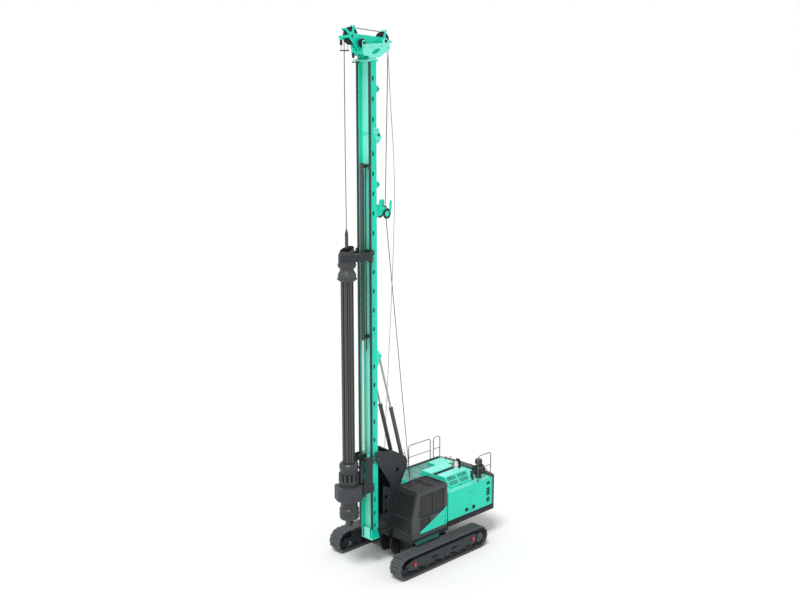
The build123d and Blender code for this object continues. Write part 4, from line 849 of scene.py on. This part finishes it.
def right_boxes():
    """Seams, vents and handles of the right-hand boxes, guessed from the type."""
    seams = Shape()
    seam_x = right_lying - 0.0014
    for y in (0.455, 1.16, 1.87, 2.58):
        seams.box(seam_x, right_lying, y - 0.004, y + 0.004, 1.40, 2.53)
    seams.box(seam_x, right_lying, -0.38, 3.27, 2.535, 2.541)
    for y in (1.50, 2.90):
        for k in range(8):
            z = 1.55 + k * 0.05
            seams.box(right_lying - 0.0022, right_lying, y - 0.16, y + 0.16, z, z + 0.025)
    seams.flat("right_seams", LOUVRE, "upper")
    side = Shape()
    for y in (1.05, 1.76, 2.47, 3.16):
        side.tube([(-1.500, y, 2.05), (-1.535, y, 2.06), (-1.535, y, 2.19), (-1.500, y, 2.20)], 0.008)
    side.make("right_handles", BLACK, "upper")
    top = Shape()
    for y in (0.62, 1.10, 1.62, 2.14):
        top.tube([(-1.10, y, 2.58), (-1.10, y, 2.625), (-0.95, y, 2.625), (-0.95, y, 2.58)], 0.008)
    for y in (0.86, 1.36, 1.88):
        top.box(-1.46, -0.53, y - 0.006, y + 0.006, 2.5805, 2.584)
    top.make("walkway_handles", TUBE, "upper")


def weight_back(x):
    """Where the counterweight's rounded back stands at x."""
    return 3.62 - 0.19 * (x / side_face) ** 2


def counterweight():
    """Eyes on top, lamps and seams at the back, guessed from the type."""
    eyes = Shape()
    for x in (-1.0, 1.0):
        eyes.ring((x, 3.47, 2.665), 0.055, 0.014, 28, upright=True)
    eyes.make("weight_eyes", ZINC, "upper")
    sunk = 0.004
    rows = (("rear_lamps", RED, [(-1.28, -1.10), (1.10, 1.28)], 1.42, 0.10, 0.02),
            ("rear_seams", DARK, [(-1.2, -0.6), (-0.6, 0.0), (0.0, 0.6), (0.6, 1.2)], 1.92, 0.008, 0.002))
    for name, mat, spans, low, height, proud in rows:
        s = Shape()
        for x0, x1 in spans:
            y0 = weight_back(x0)
            along = (x1 - x0, weight_back(x1) - y0, 0)
            s.slab((x0, y0 - sunk, low), along, (0, 0, height), (0, proud, 0))
        s.flat(name, mat, "upper")


def rail_flanges():
    """Flanges under the handrail posts, on the walkway and on the hood."""
    s = Shape()
    rows = ((-1.40, 2.575, (1.38, 2.66, 2.85, 3.24)), (1.44, 2.55, (2.46, 3.23)), (0.56, 2.55, (2.48, 3.12)))
    for x, z, places in rows:
        for y in places:
            s.box(x - 0.045, x + 0.045, y - 0.045, y + 0.045, z + 0.0005, z + 0.010)
    s.flat("rail_flanges", TUBE, "upper")


def deck_bolts():
    """Bolts along the deck's skirt and on the slew ring."""
    skirt = Shape()
    for way in (-1, 1):
        skirt.side_bolts(way, side_face, [(y, 1.22) for y in (0.9, 1.4, 1.9, 2.4, 2.9)], 0.012)
    skirt.make("skirt_bolts", ZINC, "upper")
    slew = Shape()
    for x, y in circle(28, 0.585):
        slew.bolt((x, y, 0.8998), r=0.012)
    slew.make("slew_bolts", ZINC, "undercarriage")


# Support frame of the mast
def frame_ring():
    """Pale ring with its stem, and the light hose that runs down from it."""
    ring = Shape()
    ring.ring((0.400, -0.700, 4.36), 0.055, 0.011, 28, upright=True)
    ring.box(0.390, 0.410, -0.735, -0.665, 4.17, 4.31)
    ring.make("frame_ring", WHITE, "upper")
    hose = Shape()
    hose.tube(curve([(0.40, -0.655, 4.33), (0.408, -0.56, 3.95), (0.41, -0.42, 3.35), (0.41, -0.30, 2.80),
                     (0.40, -0.22, 2.20), (0.38, -0.15, 1.50)], 8), 0.012)
    hose.make("frame_hose", TUBE, "upper")


def frame_hardware():
    """Pin caps with their bolts, and dark discs in the frame's holes as painted shade."""
    cheek_in, cheek_out, cap_t, hole_shade_t = 0.3845, 0.414, 0.012, 0.0035
    pins = ((mast_pivot, 0.430, 0.065), (rake_base, 0.430, 0.055), ((-1.79, 1.63), 0.434, 0.10))
    bolts = Shape()
    caps = Shape()
    covers = Shape()
    for way in (-1, 1):
        for centre, x, r in pins:
            caps.disc(way, x, x + cap_t, centre, r, 28)
            bolts.side_bolts(way, x + cap_t, around(centre, circle(6, 0.7 * r)), 0.008)
        # dark discs that close the holes: painted shade
        covers.disc(way, cheek_in, cheek_in + hole_shade_t, (-1.05, 3.70), 0.10, 28)
        for z, r in ((2.74, 0.118), (2.44, 0.072), (2.17, 0.118)):
            covers.disc(way, cheek_in, cheek_in + hole_shade_t, (-1.65, z), r, 24)
        bolts.side_bolts(way, cheek_out, [(y, 1.42) for y in (-1.70, -1.50, -1.25, -1.05)], 0.014)
    bolts.make("frame_bolts", ZINC, "upper")
    caps.make("frame_pin_caps", BLACK, "upper")
    covers.make("frame_hole_covers", DARK, "upper")


# Undercarriage: the track's loop follows from the CAD track's box
shoe_count = 50
grouser_h = 0.028
track_low, track_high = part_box("track_left")
track_z = round(track_high.z / 2, 3)
wheel_y = round(track_high.y - track_z, 3)
shoe_r = track_z - grouser_h
straight = 2 * wheel_y
arc = math.pi * shoe_r
pitch = 2 * (straight + arc) / shoe_count
frame_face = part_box("side_frame_left")[1].x


def track_point(distance, r):
    """Point on the track's loop at radius r and the direction that points out of it."""
    half, d = divmod(distance % (2 * (straight + arc)), straight + arc)
    way = 1 - 2 * half
    a = math.pi / 2 - max(d - straight, 0.0) / shoe_r
    out = (way * math.cos(a), way * math.sin(a))
    return (way * (min(d, straight) - wheel_y) + r * out[0], track_z + r * out[1]), out


def track_strip(s, way, inner, outer, start, end, r, thick):
    """Flat strip on one track; start and end count in shoes along its loop."""
    x0, x1 = sorted((way * inner, way * outer))
    p, out = track_point(start * pitch, r)
    q = track_point(end * pitch, r)[0]
    s.slab((x0, *p), (x1 - x0, 0, 0), (0, q[0] - p[0], q[1] - p[1]), (0, out[0] * thick, out[1] * thick))


def tracks():
    """Bright edges on the grousers, worn and also a painted highlight, dark lines along the shoes, and their
    bolts.
    """
    inner = track_low.x + 0.01
    outer = track_high.x - 0.01
    worn_r = track_z + 0.0003
    shoe_face = shoe_r - 0.0005
    # grouser edges: wear together with a painted highlight
    wear_and_highlight = Shape()
    lines = Shape()
    bolts = Shape()
    for way in (-1, 1):
        for i in range(shoe_count):
            for a, b in ((0.088, 0.142), (0.828, 0.882)):
                track_strip(wear_and_highlight, way, inner, outer, i + a, i + b, worn_r, 0.0012)
            track_strip(lines, way, inner, outer, i - 0.03, i + 0.03, shoe_face, 0.002)
            for x in (1.57, 1.715, 1.86):
                track_strip(lines, way, x - 0.008, x + 0.008, i + 0.27, i + 0.69, shoe_face, 0.002)
            for x in (1.635, 1.795):
                for share in (0.36, 0.60):
                    p, out = track_point((i + share) * pitch, shoe_face)
                    bolts.bolt((way * x, *p), (0, *out), 0.012, 0.012)
    wear_and_highlight.flat("track_wear", WORN_AND_HIGHLIGHT, "undercarriage")
    lines.flat("track_lines", DARK, "undercarriage")
    bolts.flat("track_bolts", BLACK, "undercarriage")


def side_frames():
    """Hubs with their bolts, roller caps, dark seams, painted shade in the pockets, and the red marks of the
    pins.
    """
    final = (wheel_y, track_z)
    idler = (-wheel_y, track_z)
    hub_x, idler_x = 1.966, 1.950
    pocket_x = frame_face + 0.0003
    mark_x = 1.965
    seams = (((-1.05, 0.0, 1.05), 0.004, 0.27, 0.68), ((-0.55, 0.55), 0.16, 0.44, 0.50))
    hubs = Shape()
    bolts = Shape()
    seams_and_pocket_shade = Shape()
    marks = Shape()
    for way in (-1, 1):
        hubs.disc(way, 1.9403, hub_x, final, 0.165, 36)
        hubs.disc(way, hub_x, 1.985, final, 0.085, 28)
        hubs.disc(way, 1.9253, idler_x, idler, 0.075, 28)
        bolts.side_bolts(way, hub_x, around(final, circle(10, 0.13)), 0.011)
        bolts.side_bolts(way, idler_x, around(idler, circle(6, 0.055)), 0.007)
        for i in range(-3, 4):
            y = i * 0.45
            hubs.disc(way, 1.8505, 1.868, (y, 0.185), 0.055, 20)
            # dark patches painted as the shade in the frame's pockets
            if i % 2:
                seams_and_pocket_shade.box(way * pocket_x, way * (pocket_x + 0.0022), y - 0.14, y + 0.14, 0.275, 0.325)
        for places, half, low, high in seams:
            for y in places:
                seams_and_pocket_shade.box(way * pocket_x, way * (pocket_x + 0.0027), y - half, y + half, low, high)
        for y, z in ((-1.62, 0.51), (1.65, 0.52)):
            marks.disc(way, mark_x - 0.017, mark_x + 0.017, (y, z), 0.052, 20)
            marks.box(way * (mark_x - 0.012), way * (mark_x + 0.012), y - 0.04, y + 0.04, z - 0.115, z - 0.04)
    hubs.make("frame_hubs", CASE, "undercarriage")
    bolts.make("hub_bolts", ZINC, "undercarriage")
    seams_and_pocket_shade.flat("frame_pockets", DARK, "undercarriage")
    marks.make("frame_marks", RED, "undercarriage")


# Rotary and kelly
def rotary_case():
    """Bolts round the gear case where it is free, caps over its gears and on the motors."""
    cap_top = 3.552
    bolts = Shape()
    caps = Shape()
    for x, y in around((0, kelly_y), circle(28, 0.46)):
        if y < -2.98 or abs(x) > 0.40:
            bolts.bolt((x, y, 3.52), r=0.013)
    for way in (-1, 1):
        for x, y, r in ((0.33, -3.03, 0.11), (0.30, -3.42, 0.10)):
            caps.rod((way * x, y, 3.535), (way * x, y, cap_top), r, 28)
            for u, v in around((way * x, y), circle(6, 0.8 * r, 15)):
                bolts.bolt((u, v, cap_top), r=0.009)
        motor = (way * 0.215, -2.745)
        caps.rod((*motor, 3.60), (*motor, 3.66), 0.115, 28)
        caps.rod((*motor, 3.98), (*motor, 4.00), 0.105, 28)
    bolts.make("case_bolts", ZINC, "sledge")
    caps.make("case_caps", COLLAR, "sledge")


def upright_slab(s, a, r, along, low, wide, thick, height):
    """Upright slab at angle a and radius r from the kelly's axis, starting along beside that radius."""
    out = Vector((math.cos(a), math.sin(a), 0))
    beside = Vector((-math.sin(a), math.cos(a), 0))
    s.slab(Vector((0, kelly_y, low)) + out * r + beside * along, beside * wide, out * thick, (0, 0, height))


def drive_sleeve():
    """Bolts on the sleeve's lower collar and dark floors in its notches."""
    bolts = Shape()
    for x, y in circle(20, 0.367):
        bolts.bolt((x, kelly_y + y, 2.44), (x, y, 0), 0.011)
    bolts.make("sleeve_bolts", BLACK, "drive")
    shadows = Shape()
    notches = 14
    for k in range(notches):
        upright_slab(shadows, 2 * math.pi * k / notches, 0.3663, -0.031, 3.779, 0.062, 0.0022, 0.262)
    shadows.flat("sleeve_shadows", DARK, "drive")


def shoe_bolts():
    """Bolts on the kelly guide and on the sides of its shoes and of the sledge's."""
    guide = Shape()
    for x, y in around((0, kelly_y), circle(12, 0.290)):
        guide.bolt((x, y, 12.2996), r=0.010)
    sledge = Shape()
    for way in (-1, 1):
        for shape, heights in ((guide, (12.02, 12.16, 12.30)), (sledge, (3.22, 3.38, 4.32, 4.48))):
            shape.side_bolts(way, 0.4085, [(-2.32, z) for z in heights], 0.013)
    guide.make("guide_bolts", ZINC, "kelly_guide")
    sledge.make("sledge_bolts", ZINC, "sledge")


def kelly_head():
    """Slanting open cup on the guide's ring and bulged skirt, with painted shade inside the cup; the kelly's
    lip and painted shade beside its ribs.
    """
    axis = (0, kelly_y)
    cup = Shape()
    cup.turned([(0.246, 12.2997), (0.270, 12.2997), (0.266, 12.46), (0.246, 12.46)], axis,
               lean=0.11, lean_from=12.4)
    cup.turned([(0.258, 12.0203), (0.298, 12.0203), (0.338, 11.94), (0.338, 11.88), (0.300, 11.80),
                (0.258, 11.80)], axis)
    cup.make("guide_cup", CUP, "kelly_guide")
    # dark sheet over the dome inside the cup: painted shade
    cup_shade = Shape()
    cup_shade.turned([(0.2395, 12.4120), (0.0700, 12.5070), (0.0700, 12.5110), (0.2395, 12.4160)], axis)
    cup_shade.make("guide_lining", DARK, "kelly_guide")
    lip = Shape()
    lip.turned([(0.334, 11.385), (0.366, 11.385), (0.366, 11.415), (0.334, 11.425)], axis)
    lip.make("kelly_lip", KELLY, "kelly_outer")
    # dark strips on both sides of each rib: painted shade where rib meets tube
    seams = Shape()
    for k in range(6):
        for start in (-0.052, 0.032):
            upright_slab(seams, math.radians(30 + 60 * k), 0.2185, start, 3.2, 0.020, 0.005, 8.12)
    seams.flat("kelly_seams", DARK, "kelly_outer")


def kelly_ends():
    """Two hooks beside the stub that hold a tool's pin, and the swivel that the hoist rope ends in."""
    hooks = Shape()
    for way in (-1, 1):
        hooks.slab((way * 0.1003, -3.215, 2.17), (way * 0.02, 0, 0), (0, 0.07, 0), (way * 0.06, 0, -0.06))
        hooks.slab((way * 0.165, -3.205, 2.085), (way * 0.03, 0, 0), (0, 0.05, 0), (0, 0, 0.06))
    hooks.flat("stub_hooks", BLACK, "kelly_inner")
    swivel = Shape()
    swivel.rod((0, kelly_y, 13.0598), (0, kelly_y, 13.10), 0.045, 20)
    swivel.ring((0, kelly_y, 13.13), 0.045, 0.012, upright=True)
    swivel.make("rope_swivel", BLACK, "kelly_guide")


for dress in (
    hoist_rope, service_rope, bracket_sheave, limit_rings, crowd_pipes, head_hardware, fold_hinge,
    rope_guides, mast_hoses, motor_hoses, cab_side, cab_levers, hood_screens, lid_details,
    exhaust, walkway, side_doors, cleaner_bands, right_boxes, counterweight, rail_flanges, deck_bolts,
    frame_ring, frame_hardware, tracks, side_frames, rotary_case, drive_sleeve, shoe_bolts,
    kelly_head, kelly_ends,
):
    dress()


# Studio
def make_camera():
    """50 mm lens at the photograph's standing point."""
    azimuth = math.radians(45.414)
    elevation = math.radians(11.996)
    level = math.cos(elevation)
    look = Vector((-math.sin(azimuth) * level, math.cos(azimuth) * level, -math.sin(elevation)))
    data = bpy.data.cameras.new("camera")
    data.lens = 50.0
    data.sensor_width = 36.0
    data.clip_start = 0.5
    data.clip_end = 400.0
    data.dof.use_dof = False
    camera = placed("camera", data, look)
    camera.location = (29.267, -29.351, 18.952)
    bpy.context.scene.camera = camera


def make_floor():
    """Floor and backdrop in one pale sheet that keeps the object's shadow."""
    half, z = 150.0, -0.002
    mat = blank_material("pale_floor")
    tree = mat.node_tree
    place = add(tree, "TexCoord", {}).outputs["Object"]
    tone = ranged(tree, noise(tree, place, 0.15), (0.0, 1.0), (0.985, 1.0))
    shader = add(tree, "BsdfDiffuse", {"Color": tone})
    add(tree, "OutputMaterial", {0: shader.outputs[0]})
    mesh = bpy.data.meshes.new("floor")
    mesh.from_pydata([(-half, -half, z), (half, -half, z), (half, half, z), (-half, half, z)], [],
                     [(0, 1, 2, 3)])
    mesh.materials.append(mat)
    placed("floor", mesh)


def make_world():
    """Soft light on the object, and plain white where the camera, gloss and glass see the background."""
    world = bpy.data.worlds.new("studio")
    bpy.context.scene.world = world
    world.use_nodes = True
    tree = world.node_tree
    tree.nodes.clear()
    path = add(tree, "LightPath", {})
    seen = path.outputs["Is Camera Ray"]
    for ray in ("Is Glossy Ray", "Is Transmission Ray"):
        seen = add(tree, "Math", {0: seen, 1: path.outputs[ray]}, operation="MAXIMUM").outputs[0]
    white = (1.0, 1.0, 1.0, 1.0)
    light = add(tree, "Background", {"Color": white, "Strength": 0.58})
    backdrop = add(tree, "Background", {"Color": white, "Strength": 1.0})
    mix = add(tree, "MixShader", {"Fac": seen, 1: light.outputs[0], 2: backdrop.outputs[0]})
    add(tree, "OutputWorld", {0: mix.outputs[0]})


def make_sun():
    """Soft key light from the front and the machine's left."""
    data = bpy.data.lights.new("key_sun", "SUN")
    data.energy = 1.75
    data.angle = math.radians(18)
    placed("key_sun", data, Vector((-0.26, 0.50, -1.0)))


make_camera()
make_floor()
make_world()
make_sun()
bpy.context.scene.view_settings.view_transform = "Standard"
